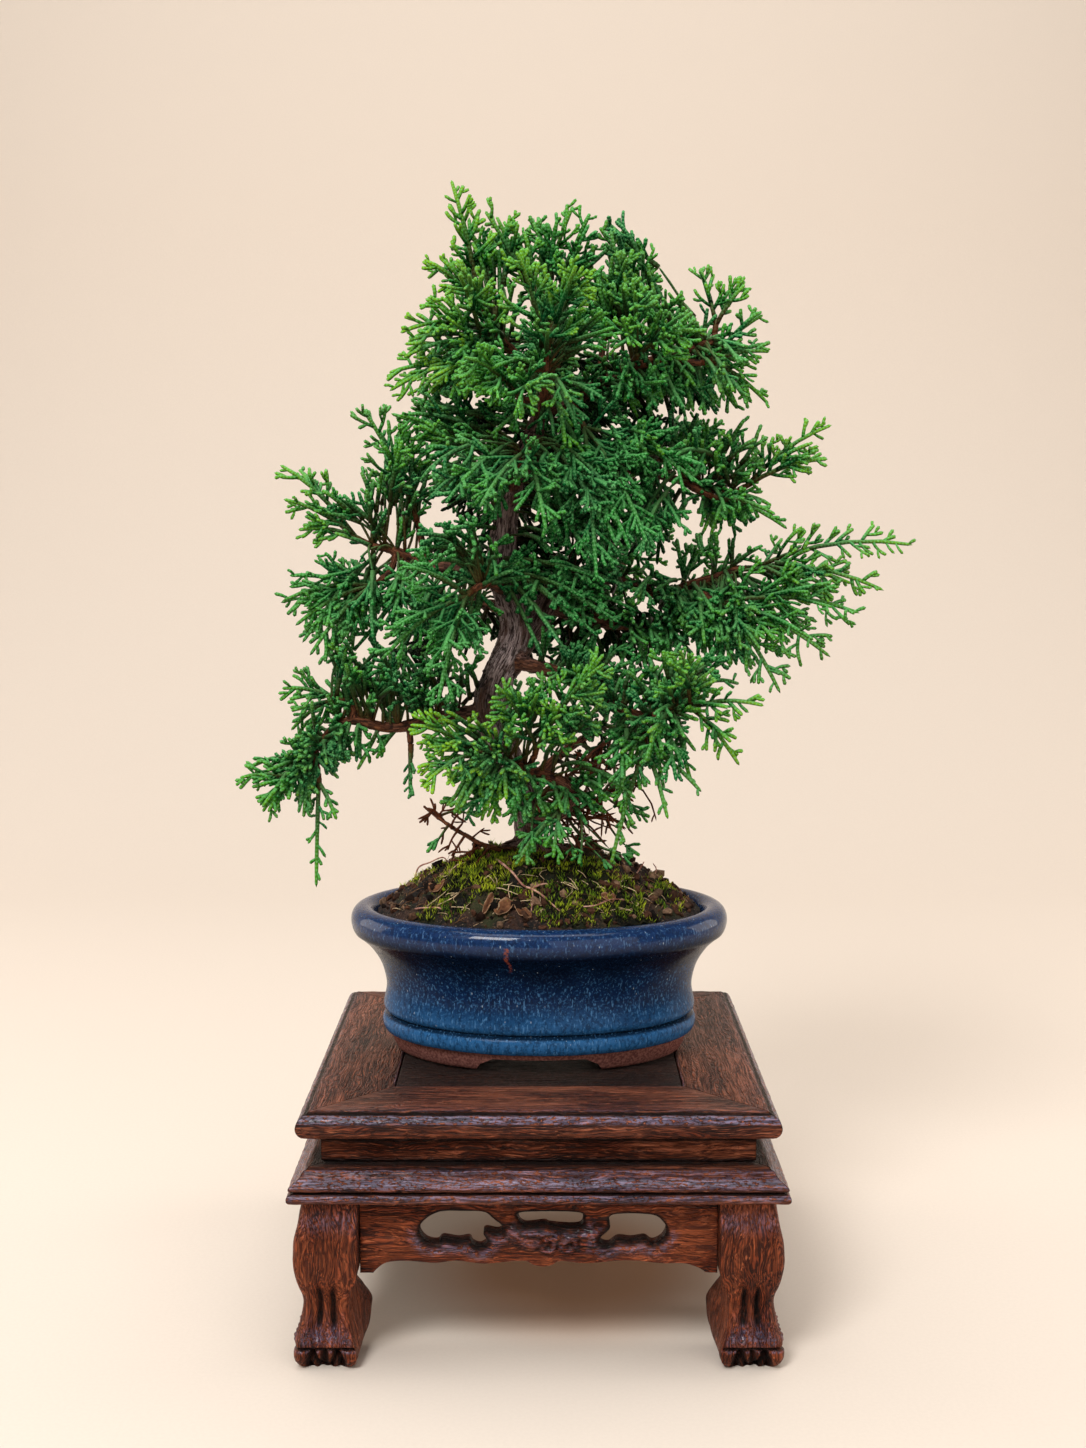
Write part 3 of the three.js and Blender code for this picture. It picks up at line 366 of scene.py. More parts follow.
def set_attribute(piece, name, values):
    """Three numbers for each point of the piece, which its material reads by this name."""
    attribute = piece.data.attributes.new(name, "FLOAT_VECTOR", "POINT")
    attribute.data.foreach_set("vector", np.asarray(values, np.float32).ravel())


def mesh_points(piece):
    """The piece's points in millimetres."""
    points = np.empty(len(piece.data.vertices) * 3, np.float32)
    piece.data.vertices.foreach_get("co", points)
    return points.reshape(-1, 3).astype(float) / MM


def move_points(piece, points):
    """Puts the piece's points, in metres, where they are given."""
    piece.data.vertices.foreach_set("co", points.astype(np.float32).ravel())


def start_piece(name, add, **shape):
    """A new piece from one of Blender's own shapes."""
    deselect()
    add(**{"location": (0, 0, 0), **shape})
    piece = bpy.context.object
    piece.name = piece.data.name = name
    return piece


def start_profile(name, corners):
    """A flat face with as many corners as the profile has."""
    return start_piece(name, bpy.ops.mesh.primitive_circle_add, vertices=corners, radius=1, fill_type="NGON")


def edit(*steps):
    """Runs each step in edit mode on everything that the active piece has."""
    bpy.ops.object.mode_set(mode="EDIT")
    for step in steps:
        bpy.ops.mesh.select_all(action="SELECT")
        step()
    bpy.ops.object.mode_set(mode="OBJECT")


def weld():
    bpy.ops.mesh.remove_doubles(threshold=1e-6)


def turn_faces_out():
    bpy.ops.mesh.normals_make_consistent(inside=False)


def apply_modifier(piece, kind, **settings):
    pick(piece)
    modifier = piece.modifiers.new(kind.title(), kind)
    for key, value in settings.items():
        setattr(modifier, key, value)
    bpy.ops.object.modifier_apply(modifier=modifier.name)


def polish_up(piece, degrees, material):
    """Smooths the faces that meet at less than the angle and gives the piece its one material."""
    pick(piece)
    bpy.ops.object.shade_smooth_by_angle(angle=math.radians(degrees))
    piece.data.materials.clear()
    piece.data.materials.append(material)
    return piece


def wall_faces(rings, sides):
    """The four-cornered faces between closed rings of points."""
    k = np.arange(sides)
    base = np.arange(rings - 1)[:, None] * sides
    a, b = (base + k).ravel(), (base + (k + 1) % sides).ravel()
    return np.stack([a, b, b + sides, a + sides], axis=1)


def line_lengths(line):
    """How far along a line each of its points lies."""
    return np.concatenate([[0], np.cumsum(np.linalg.norm(np.diff(line, axis=0), axis=1))])


def smooth_step(a, b, c, d, t):
    """A place on the smooth curve from b to c that comes from a and goes on to d."""
    return 0.5 * (2 * b + (c - a) * t + (2 * a - 5 * b + 4 * c - d) * t * t
                  + (3 * b - a - 3 * c + d) * t ** 3)


def any_way(dice):
    return Vector([dice.uniform(-1, 1) for _ in range(3)])


def seat(piece, slot, *nodes):
    """The piece rides on the bonsai's one body and stands for the nodes, whose parts are hidden. The slot is
    not used.
    """
    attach(piece, "root")
    if nodes:
        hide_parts(*nodes)
    return piece


# ---- Shared making of materials ----


class Nodes:
    """Adds the nodes of one material or of one shared group."""

    def __init__(self, tree):
        self.tree = tree

    def add(self, kind, inputs=None, **settings):
        node = self.tree.nodes.new(kind)
        for key, value in settings.items():
            setattr(node, key, value)
        for key, value in (inputs or {}).items():
            self.feed(node.inputs[key], value)
        return node

    def feed(self, socket, value):
        if isinstance(value, bpy.types.NodeSocket):
            self.tree.links.new(value, socket)
        else:
            socket.default_value = value

    def math(self, operation, a, b=0.0, c=0.0, clamp=False):
        node = self.add("ShaderNodeMath", operation=operation, use_clamp=clamp)
        for socket, value in zip(node.inputs, (a, b, c)):
            self.feed(socket, value)
        return node.outputs[0]

    def times(self, a, b, clamp=False):
        return self.math("MULTIPLY", a, b, clamp=clamp)

    def plus(self, a, b):
        return self.math("ADD", a, b)

    def span(self, value, low, high, to_low=0.0, to_high=1.0):
        """Turns low..high into to_low..to_high, smoothly and held at the ends."""
        node = self.add("ShaderNodeMapRange", interpolation_type="SMOOTHSTEP")
        for key, number in zip(("Value", "From Min", "From Max", "To Min", "To Max"),
                               (value, low, high, to_low, to_high)):
            self.feed(node.inputs[key], number)
        return node.outputs["Result"]

    def blend(self, share, first, second, mode="MIX"):
        node = self.add("ShaderNodeMix", data_type="RGBA", blend_type=mode)
        for index, value in ((0, share), (6, first), (7, second)):
            self.feed(node.inputs[index], value)
        return node.outputs[2]

    def grain(self, vector, scale, detail=3.0, rough=0.5, twist=0.0):
        node = self.add("ShaderNodeTexNoise", {"Vector": vector, "Scale": scale, "Detail": detail,
                                               "Roughness": rough, "Distortion": twist})
        return node.outputs["Fac"]

    def cells(self, vector, scale):
        return self.add("ShaderNodeTexVoronoi", {"Vector": vector, "Scale": scale}).outputs["Distance"]

    def stretch(self, vector, scale):
        return self.add("ShaderNodeMapping", {"Vector": vector, "Scale": scale}).outputs[0]

    def parts(self, vector):
        return self.add("ShaderNodeSeparateXYZ", {"Vector": vector}).outputs

    def read(self, attribute):
        """The three numbers that the mesh holds for each point under this name."""
        return self.add("ShaderNodeAttribute", attribute_name=attribute).outputs["Vector"]

    def place(self):
        return self.add("ShaderNodeTexCoord").outputs["Object"]


class Surface(Nodes):
    """Adds the nodes of one material and feeds its Principled shader."""

    def __init__(self, name):
        self.material = bpy.data.materials.new(name)
        self.material.use_nodes = True
        super().__init__(self.material.node_tree)

    def finish(self, colour, roughness, specular=0.5, relief=None, **others):
        """Returns the finished material; the relief is its strength, its depth and its height."""
        shader = self.tree.nodes["Principled BSDF"]
        feeds = {"Base Color": colour, "Roughness": roughness, "Specular IOR Level": specular}
        feeds.update((key.replace("_", " ").title(), value) for key, value in others.items())
        if relief:
            strength, depth, height = relief
            bump = self.add("ShaderNodeBump", {"Strength": strength, "Distance": depth, "Height": height})
            feeds["Normal"] = bump.outputs[0]
        for key, value in feeds.items():
            self.feed(shader.inputs[key], value)
        return self.material


def tone(red, green, blue):
    """A colour given as the photograph shows it, 0 to 255, as the shader takes it."""
    parts = [value / 255 for value in (red, green, blue)]
    return tuple(v / 12.92 if v <= 0.04045 else ((v + 0.055) / 1.055) ** 2.4 for v in parts) + (1,)


def new_group(name, inputs, outputs):
    """A shared effect with its inputs and outputs: returns its tree, maker, entry and exit."""
    tree = bpy.data.node_groups.new(name, "ShaderNodeTree")
    for way, sockets in (("INPUT", inputs), ("OUTPUT", outputs)):
        for label, kind in sockets.items():
            tree.interface.new_socket(label, in_out=way, socket_type="NodeSocket" + kind)
    return tree, Nodes(tree), tree.nodes.new("NodeGroupInput"), tree.nodes.new("NodeGroupOutput")


def once(maker):
    """Keeps what a maker made, so that a shared group or a material is built a single time."""
    kept = {}

    def take(*choice):
        if choice not in kept:
            kept[choice] = maker(*choice)
        return kept[choice]

    return take


# ---- Settings that a user may change ----


def colour_choice(name, description, red, green, blue):
    """A colour setting, with the photograph's colour as its default."""
    return FloatVectorProperty(name=name, description=description, subtype="COLOR", size=4, min=0, max=1,
                               default=tone(red, green, blue))


def chosen(group, name):
    """The value of one setting in the scene."""
    value = getattr(getattr(bpy.context.scene, "bonsai_" + group), name)
    return tuple(value) if hasattr(value, "__len__") else value


class FoliageSettings(bpy.types.PropertyGroup):
    """The sprays of scale-leaved cords"""

    fullness: FloatProperty(name="Fullness", description="Share of the inner plumes that are grown",
                            default=1.0, min=0.1, max=1.5, subtype="FACTOR")
    cord_width: FloatProperty(name="Cord width", description="Thickness of every cord against its grown size",
                              default=1.0, min=0.5, max=1.6, subtype="FACTOR")
    shade: colour_choice("Shaded green", "The oldest scales, near the wood", 0, 30, 5)
    open: colour_choice("Open green", "Grown scales towards the light", 20, 138, 30)
    blue: colour_choice("Blue green", "The cooler patches of grown scales", 4, 98, 50)
    young: colour_choice("Young green", "This year's growth", 150, 206, 20)
    # The scales' pale tips: partly their own colour, partly painted highlight.
    tips: colour_choice("Scale tips", "The bloom on the tip of each scale", 152, 232, 158)
    # Painted highlight: the pale colour on the up-facing side of the cords.
    top_highlight: colour_choice("Bloom", "The pale bloom on the upper side of the cords", 110, 190, 112)
    twigs: colour_choice("Twigs", "The brown twigs that carry the plumes", 86, 46, 28)


class WoodSettings(bpy.types.PropertyGroup):
    """The trunk, its limbs and its roots"""

    skin: FloatProperty(name="Skin", description="Size of the cells that fuse the limbs into one skin",
                        default=0.56 * MM, min=0.3 * MM, max=2 * MM, precision=5, unit="LENGTH")
    grey: colour_choice("Grey bark", "Weathered ridges of the trunk", 192, 172, 170)
    brown: colour_choice("Brown bark", "Ridges of the thin limbs", 142, 86, 56)


class StandSettings(bpy.types.PropertyGroup):
    """The carved display stand"""

    dark: colour_choice("Dark grain", "The dark lines of the grain", 28, 9, 6)
    rail: colour_choice("Rail wood", "The stained wood of the rails", 108, 50, 30)
    rail_light: colour_choice("Rail flecks", "The pale flecks of the rails", 206, 124, 88)
    carved: colour_choice("Carved wood", "The stained wood of the legs and aprons", 128, 56, 30)
    carved_light: colour_choice("Carved flecks", "The pale flecks of the legs and aprons", 200, 112, 70)


class PotSettings(bpy.types.PropertyGroup):
    """The oval glazed pot"""

    roundness: IntProperty(name="Roundness", description="Faces around the pot", default=120, min=48, max=240)
    foot: colour_choice("Low glaze", "The glaze that pooled above the foot", 42, 96, 148)
    belly: colour_choice("Belly glaze", "The glaze of the wall", 12, 36, 72)
    neck: colour_choice("Neck glaze", "The dark glaze below the rim", 4, 12, 28)
    rim: colour_choice("Rim glaze", "The glaze on the rolled rim", 20, 46, 88)
    clay: colour_choice("Clay", "The bare clay of the foot", 148, 100, 90)


class SoilSettings(bpy.types.PropertyGroup):
    """The soil and what lies on it"""

    crumbs: IntProperty(name="Crumbs", description="Loose crumbs on the soil", default=1300, min=0, max=4000)
    litter: IntProperty(name="Litter", description="Dry fibres and needles on the soil", default=700,
                        min=0, max=2000)
    # The near-black colour of the hollows is painted shade.
    dark: colour_choice("Wet soil", "The hollows of the soil", 2, 1, 0)
    crust: colour_choice("Dry soil", "The crests of the soil", 50, 29, 20)


class MossSettings(bpy.types.PropertyGroup):
    """The moss cushions"""

    crowd: FloatProperty(name="Crowd", description="Moss shoots on each square millimetre", default=4.2,
                         min=0.5, max=8)
    dull: colour_choice("Dull moss", "The darker moss tips", 110, 152, 12)
    bright: colour_choice("Bright moss", "The brighter moss tips", 214, 230, 48)


class StageSettings(bpy.types.PropertyGroup):
    """The studio round the bonsai"""

    lens: FloatProperty(name="Lens", description="Focal length of the camera", default=43.43, min=20, max=120,
                        unit="CAMERA")
    key: FloatProperty(name="Key light", description="Power of the light at the left front", default=10.5,
                       min=0, max=100, unit="POWER")
    top: FloatProperty(name="Top light", description="Power of the broad light overhead", default=13.9, min=0,
                       max=100, unit="POWER")
    paper: colour_choice("Paper", "The pale sweep of studio paper", 228, 217, 205)


SETTINGS = {"foliage": FoliageSettings, "wood": WoodSettings, "stand": StandSettings, "pot": PotSettings,
            "soil": SoilSettings, "moss": MossSettings, "stage": StageSettings}


# ---- Foliage ----


def drawer(seed):
    """A repeatable draw between 0 and 1, the same as the one that placed the solids' shoots."""
    state = seed

    def draw():
        nonlocal state
        state = (state * 1664525 + 1013904223) % 4294967296
        return state / 4294967296

    return draw


def stretches(stations):
    """The straight stretches between stations: start, end and the larger radius, a row each."""
    rows = np.asarray(stations, float)
    return np.hstack([rows[:-1, :3], rows[1:, :3], np.maximum(rows[:-1, 3:], rows[1:, 3:])])


def is_clear(stations, others):
    """Whether every stretch keeps the seat gap from all the others."""
    for mine in stretches(stations):
        along = mine[3:6] - mine[:3]
        other = others[:, 3:6] - others[:, :3]
        between = mine[:3] - others[:, :3]
        aa = along @ along
        bb = (other * other).sum(1)
        ab = other @ along
        to_a = between @ along
        to_b = (between * other).sum(1)
        spread = aa * bb - ab * ab
        crossing = (ab * to_b - to_a * bb) / np.where(spread > 1e-9, spread, 1)
        s = np.where(spread > 1e-9, np.clip(crossing, 0, 1), 0)
        t = np.clip((ab * s + to_b) / bb, 0, 1)
        s = np.clip((ab * t - to_a) / aa, 0, 1)
        gap = np.linalg.norm(between + s[:, None] * along - t[:, None] * other, axis=1)
        if (gap <= mine[6] + others[:, 6] + SEAT_GAP).any():
            return False
    return True


def spray_direction(base, tips):
    """The way from where the twig ends to the middle of the plume tips."""
    return (sum((Vector(tip) for tip in tips), Vector()) / len(tips) - Vector(base)).normalized()


def twig_stations(spray):
    """The twig of a spray, from its joint on the limb to where the foliage starts."""
    limb, joint, base, tips, _ = spray
    x, y, z, radius = LIMBS[limb][joint]
    bend = (Vector(base) - 3.5 * spray_direction(base, tips)).lerp(Vector((x, y, z)), 0.25)
    return [(x, y, z, min(radius * 0.7, TWIG_RADIUS)), (*bend, TWIG_RADIUS * 1.1), (*base, TWIG_RADIUS)]


def stem_stations(start, tip, shift):
    middle = start.lerp(tip, 0.5) + shift
    middle.z += (tip - start).length * 0.08
    return [(*start, STEM_RADIUS * 0.8), (*middle, STEM_RADIUS * 0.9), (*tip, STEM_RADIUS * 0.7)]


# How far a stem's middle or a shoot moves aside, in the order in which it tries, until it touches nothing
STEM_SHIFTS = [Vector(way) * reach for reach in (0, 3, -3, 6, -6, 9, -9, 12, -12)
               for way in ((0, 1, 0), (1, 0, 0))]
SHOOT_TURNS = [(0, 1), (0.6, 1), (-0.6, 1), (1.2, 1), (-1.2, 1), (0, 0.5)]


def shoot_stations(stem, place, side, draws, turn, shorten):
    half = 0 if place < 0.5 else 1
    start, end = Vector(stem[half][:3]), Vector(stem[half + 1][:3])
    along = (end - start).normalized()
    root = start.lerp(end, place * 2 - half)
    flat = along.cross(Vector((draws["roll"], -1, 0.3))).normalized()
    lift = flat.cross(along)
    elevation = (draws["elevation"] - 0.5) * 1.2 + turn
    out = flat * side * math.cos(elevation) + lift * math.sin(elevation)
    angle = 0.62 + 0.2 * (draws["angle"] - 0.5)
    tip = root + (along * math.cos(angle) + out * math.sin(angle)) * draws["length"] * shorten
    return [(*root, CORD_RADIUS * 0.6), (*tip, CORD_RADIUS)]


def grow_plume(start, tip, draw, others):
    """One plume of the solids: its stem, its shoots with their places and sides, and the way it faces."""
    shift = next(s for s in STEM_SHIFTS if is_clear(stem_stations(start, tip, s), others))
    stem = stem_stations(start, tip, shift)
    length = (tip - start).length
    count = max(3, int(length / SHOOT_SPACING + 0.5))
    roll = draw() * 1.4 - 0.7
    shoots = []
    for i in range(count):
        place = 0.14 + 0.74 * (i + 0.5) / count
        draws = {"roll": roll, "elevation": draw(), "angle": draw()}
        draws["length"] = (0.34 * length * (1 - place) + 5) * (0.85 + 0.3 * draw())
        side = 1 if i % 2 else -1
        for turn, shorten in SHOOT_TURNS:
            shoot = shoot_stations(stem, place, side, draws, turn, shorten)
            if is_clear(shoot, others):
                shoots.append((place, side, shoot))
                break
    return stem, shoots, Vector((roll, -1, 0.3)).normalized()


def grow_solids():
    """The stalk and plumes of every spray, grown as the solids were, so that the fine cords follow them."""
    wood = np.vstack([stretches(stations) for stations in LIMBS.values()])
    twigs = [stretches(twig_stations(spray)) for spray in SPRAYS.values()]
    taken, grown = [], {}
    for order, (name, (_, _, base, tips, _)) in enumerate(SPRAYS.items()):
        others = np.vstack([wood] + [twig for i, twig in enumerate(twigs) if i != order] + taken)
        draw = drawer(SOLID_SEED + 37 * order)
        way = spray_direction(base, tips)
        foot = Vector(base) + way * SEAT_GAP
        stalk = [(*foot, STEM_RADIUS), (*(foot + way * STALK_LENGTH), STEM_RADIUS)]
        root = foot + way * (STALK_LENGTH - 1)
        plumes = [grow_plume(root, Vector(tip), draw, others) for tip in tips]
        taken.append(stretches(stalk))
        for stem, shoots, _ in plumes:
            taken.append(stretches(stem))
            taken.extend(stretches(shoot) for _, _, shoot in shoots)
        grown[name] = (stalk, way, plumes)
    return grown


CORD_KINDS = {
    # Samples along the cord with the thickness at each, and the number of sides; the last sample is the pole
    "bud": ([(0, 0.72), (0.45, 0.97), (0.82, 0.95), (1, 0)], 4),
    "shoot": ([(0, 1.0), (0.25, 1.04), (0.5, 0.96), (0.75, 1.04), (0.95, 0.85), (1, 0)], 4),
    "stem": ([(0, 1.0), (0.2, 0.96), (0.4, 1.05), (0.6, 0.96), (0.8, 1.05), (0.97, 0.85), (1, 0)], 5),
    "fibre": ([(0, 1.0), (0.3, 1.0), (0.6, 1.0), (0.95, 0.8), (1, 0)], 3),
}


class Skein:
    """Collects curved cords and makes one mesh of them, with the growth of each point as an attribute."""

    def __init__(self):
        self.rows = {kind: [] for kind in CORD_KINDS}

    def add(self, kind, start, bend, tip, face, radii, ages, fresh, woody=(0, 0)):
        self.rows[kind].append((*start, *bend, *tip, *face, *radii, *ages, fresh, *woody))

    def make(self, name, material, width=1.0):
        points, growth, quads, poles, roots, wraps = [], [], [], [], [], []
        first = 0
        for kind, rows in self.rows.items():
            if not rows:
                continue
            samples, sides = CORD_KINDS[kind]
            data = np.array(rows)
            start, bend, tip, face = (data[:, None, i:i + 3] for i in (0, 3, 6, 9))
            t = np.array([place for place, _ in samples])[None, :, None]
            sizes = np.array([size for _, size in samples])[None, :] * width
            path = (1 - t) ** 2 * start + 2 * t * (1 - t) * bend + t * t * tip
            along = 2 * (1 - t) * (bend - start) + 2 * t * (tip - bend)
            along /= np.linalg.norm(along, axis=2, keepdims=True)
            side = np.cross(np.broadcast_to(face, along.shape), along)
            side /= np.linalg.norm(side, axis=2, keepdims=True)
            across = np.cross(along, side)
            share = t[:, :, 0]
            radius = (data[:, 12:13] * (1 - share) + data[:, 13:14] * share) * sizes
            turn = np.arange(sides) * 2 * math.pi / sides
            ring = (np.cos(turn)[:, None] * side[:, :-1, None] + np.sin(turn)[:, None] * across[:, :-1, None])
            ring = path[:, :-1, None] + radius[:, :-1, None, None] * ring
            count, rings = len(rows), len(samples) - 1
            block = np.concatenate([ring.reshape(count, rings * sides, 3), path[:, -1:]], axis=1)
            age = data[:, 14:15] * (1 - share) + data[:, 15:16] * share
            wood = data[:, 17:18] * (1 - share) + data[:, 18:19] * share
            tint = np.stack([age, np.broadcast_to(data[:, 16:17], age.shape), wood], axis=2)
            shade = np.concatenate([np.repeat(tint[:, :-1], sides, axis=1), tint[:, -1:]], axis=1)
            base = first + np.arange(count)[:, None] * (rings * sides + 1)
            k = np.arange(sides)
            top = (rings - 1) * sides
            pole = np.stack([top + k, top + (k + 1) % sides, np.full(sides, rings * sides)], axis=1)
            quads.append((base[:, :, None] + wall_faces(rings, sides)[None]).reshape(-1, 4))
            poles.append((base[:, :, None] + pole[None]).reshape(-1, 3))
            roots.append((base + k[::-1][None]).reshape(-1, sides))
            points.append(block.reshape(-1, 3))
            growth.append(shade.reshape(-1, 3))
            reach = np.linalg.norm(tip[:, 0] - start[:, 0], axis=1)
            length = share * reach[:, None]
            wrap = np.stack([np.broadcast_to(np.tile(k / sides, rings), (count, rings * sides)),
                             np.repeat(length[:, :-1], sides, axis=1)], axis=2)
            wraps.append(np.concatenate([wrap, np.stack([np.full((count, 1), 0.5), length[:, -1:]], axis=2)],
                                        axis=1).reshape(-1, 2))
            first += count * (rings * sides + 1)
        faces = [np.concatenate(quads), np.concatenate(poles), *roots]
        piece = new_mesh(name, placed(np.concatenate(points)), faces, material)
        set_attribute(piece, "growth", np.concatenate(growth))
        wrap = np.concatenate(wraps)
        set_attribute(piece, "scales", np.column_stack([wrap, np.zeros(len(wrap))]))
        return piece


def curve_at(start, bend, tip, t):
    return start * (1 - t) ** 2 + bend * 2 * t * (1 - t) + tip * t * t


def curve_along(start, bend, tip, t):
    return ((bend - start) * 2 * (1 - t) + (tip - bend) * 2 * t).normalized()


def leave(along, face, side, angle, tilt):
    """A direction that leaves a cord at an angle, to one side in the plane of the spray, tilted out of it."""
    flat = along.cross(face).normalized()
    lift = flat.cross(along)
    out = flat * side * math.cos(tilt) + lift * math.sin(tilt)
    return along * math.cos(angle) + out * math.sin(angle), out


def bud(skein, dice, start, way, out, length, face, age, fresh, loose):
    bend = start + (way * 0.5 + out * dice.uniform(0.06, 0.28) + face * dice.uniform(-0.12, 0.12)) * length
    radius = dice.uniform(0.48, 0.63) * (1 + 0.22 * loose)
    skein.add("bud", start, bend, start + way * length, face, (radius * 0.8, radius),
              (age, min(1, age + 0.25)), fresh)


def shoot(skein, dice, start, tip, out, face, age, fresh, loose=0.3):
    """A curved side shoot with buds by turns on either side; a loose one has fewer and longer buds."""
    length = (tip - start).length
    sway = out * dice.uniform(-0.02, 0.24) + face * dice.uniform(-0.16, 0.16)
    bend = start.lerp(tip, 0.5) + sway * length
    thick = 1 + 0.22 * loose
    skein.add("shoot", start, bend, tip, face, (0.5 * thick, 0.59 * thick), (age, 1), fresh)
    place = dice.uniform(1.6, 3.0) if length < 9 else dice.uniform(0.16, 0.32) * length
    side = dice.choice((-1, 1))
    while place < length - 1.3:
        t = place / length
        reach = min(6.2 + loose, 0.44 * (length - place) + 2.4 + 0.6 * loose) * dice.uniform(0.7, 1.2)
        way, outward = leave(curve_along(start, bend, tip, t), face, side, dice.uniform(0.5, 0.9),
                             dice.uniform(-1.0, 1.0))
        root = curve_at(start, bend, tip, t)
        grown = age + (1 - age) * t
        bud(skein, dice, root, way, outward, reach, face, grown, fresh, loose)
        if reach > 3.9:
            twin, aside = leave(way, face, -side, dice.uniform(0.6, 0.9), dice.uniform(-0.6, 0.6))
            fork = root + way * reach * 0.45 + outward * reach * 0.06
            bud(skein, dice, fork, twin, aside, reach * 0.5, face, grown, fresh, loose)
        place += dice.uniform(2.5, 3.6) + 0.8 * loose
        side = -side if dice.random() < 0.88 else side


def dress_stem(skein, dice, start, bend, tip, face, fresh, age, fixed=(), woody=0.0, loose=0.3, width=1.0):
    """A plume: its stem, the shoots that the solids have, and finer shoots and buds between them."""
    length = (tip - start).length
    skein.add("stem", start, bend, tip, face, (0.78, 0.58), (age, 1), fresh, (woody, 0))
    for place, side, stations in fixed:
        root, end = Vector(stations[0][:3]), Vector(stations[1][:3])
        _, out = leave(curve_along(start, bend, tip, place), face, side, 0.6, 0)
        end = root.lerp(end, width)
        shoot(skein, dice, curve_at(start, bend, tip, place).lerp(root, 0.3), end, out, face,
              age + (1 - age) * place * 0.7, fresh, loose)
    place = dice.uniform(2.5, 4)
    side = dice.choice((-1, 1))
    while place < length - 1.2:
        t = place / length
        if all(abs(place - at * length) > 1.3 or side != way for at, way, _ in fixed):
            reach = (0.38 * length * width * (1 - t) ** 0.8 + 2.6) * dice.uniform(0.7, 1.2)
            along = curve_along(start, bend, tip, t)
            way, out = leave(along, face, side, dice.uniform(0.6, 1.0), dice.uniform(-1.1, 1.1))
            root = curve_at(start, bend, tip, t)
            grown = age + (1 - age) * t * 0.7
            if reach > 5.0:
                shoot(skein, dice, root, root + way * reach, out, face, grown, fresh, loose)
            else:
                bud(skein, dice, root, way, out, reach, face, grown, fresh, loose)
        place += dice.uniform(2.6, 4.0) + 0.7 * loose
        side = -side if dice.random() < 0.9 else side


def bushy_side_plume(skein, dice, start, bend, tip, fresh, place, spread, share):
    """A shorter plume beside a plume of the solids: it leans to the front or back, so the outline holds."""
    length = (tip - start).length
    root = curve_at(start, bend, tip, place)
    along = curve_along(start, bend, tip, place)
    lean = Vector((dice.uniform(-0.35, 0.35), dice.choice((-1, 1)) * dice.uniform(0.35, 1.0),
                   dice.uniform(-0.35, 0.35)))
    way = (along + lean * spread).normalized()
    reach = length * share * dice.uniform(0.85, 1.1)
    end = root + way * reach
    middle = root.lerp(end, 0.5) + Vector((0, 0, reach * dice.uniform(0.0, 0.12)))
    face = (Vector((dice.uniform(-1, 1), dice.uniform(-1, 0.4), dice.uniform(0.1, 1)))).normalized()
    if abs(face.dot(way)) > 0.85:
        face = way.orthogonal().normalized()
    dress_stem(skein, dice, root, middle, end, face, fresh * dice.uniform(0.5, 1), place * 0.5)


def make_spray(name, order, growth, fresh, side_plumes):
    stalk, way, plumes = growth
    dice, skein = random.Random(SPRAY_SEED + order), Skein()
    width = SLENDER.get(name, 1.0)
    foot, crotch = Vector(stalk[0][:3]), Vector(stalk[1][:3])
    face = Vector((0, -1, 0.3)).normalized()
    skein.add("stem", foot - way * 0.6, foot.lerp(crotch, 0.5), crotch + way, face, (1.0, 0.8), (0, 0.2),
              fresh, (1, 0.6))
    for stem, shoots, face in plumes:
        start, middle, tip = (Vector(station[:3]) for station in stem)
        bend = middle * 2 - (start + tip) / 2
        dress_stem(skein, dice, start, bend, tip, face, fresh * dice.uniform(0.75, 1.15), 0.12, shoots, 0.5,
                   width=width)
        for _ in range(side_plumes if width > 0.65 else 0):
            bushy_side_plume(skein, dice, start, bend, tip, fresh, dice.uniform(0.05, 0.5),
                             dice.uniform(0.4, 1.0), dice.uniform(0.45, 0.75))
    return skein


def limb_points(names):
    """Points along the named limbs, or along a named stretch of the trunk."""
    stations = []
    for name in names:
        first, last = LIMBS_OF_TRUNK.get(name, (0, None))
        stations.append(smooth_stations(LIMBS.get(name, LIMBS["trunk"])[first:last], 3))
    return np.vstack(stations)


def hides_trunk(point):
    """Whether a point lies in front of the stretch of the trunk that shows through the crown."""
    return point.y < 2 and 221 < point.z < 252 and abs(point.x + 7 - (point.z - 222) * 0.2) < 5.5


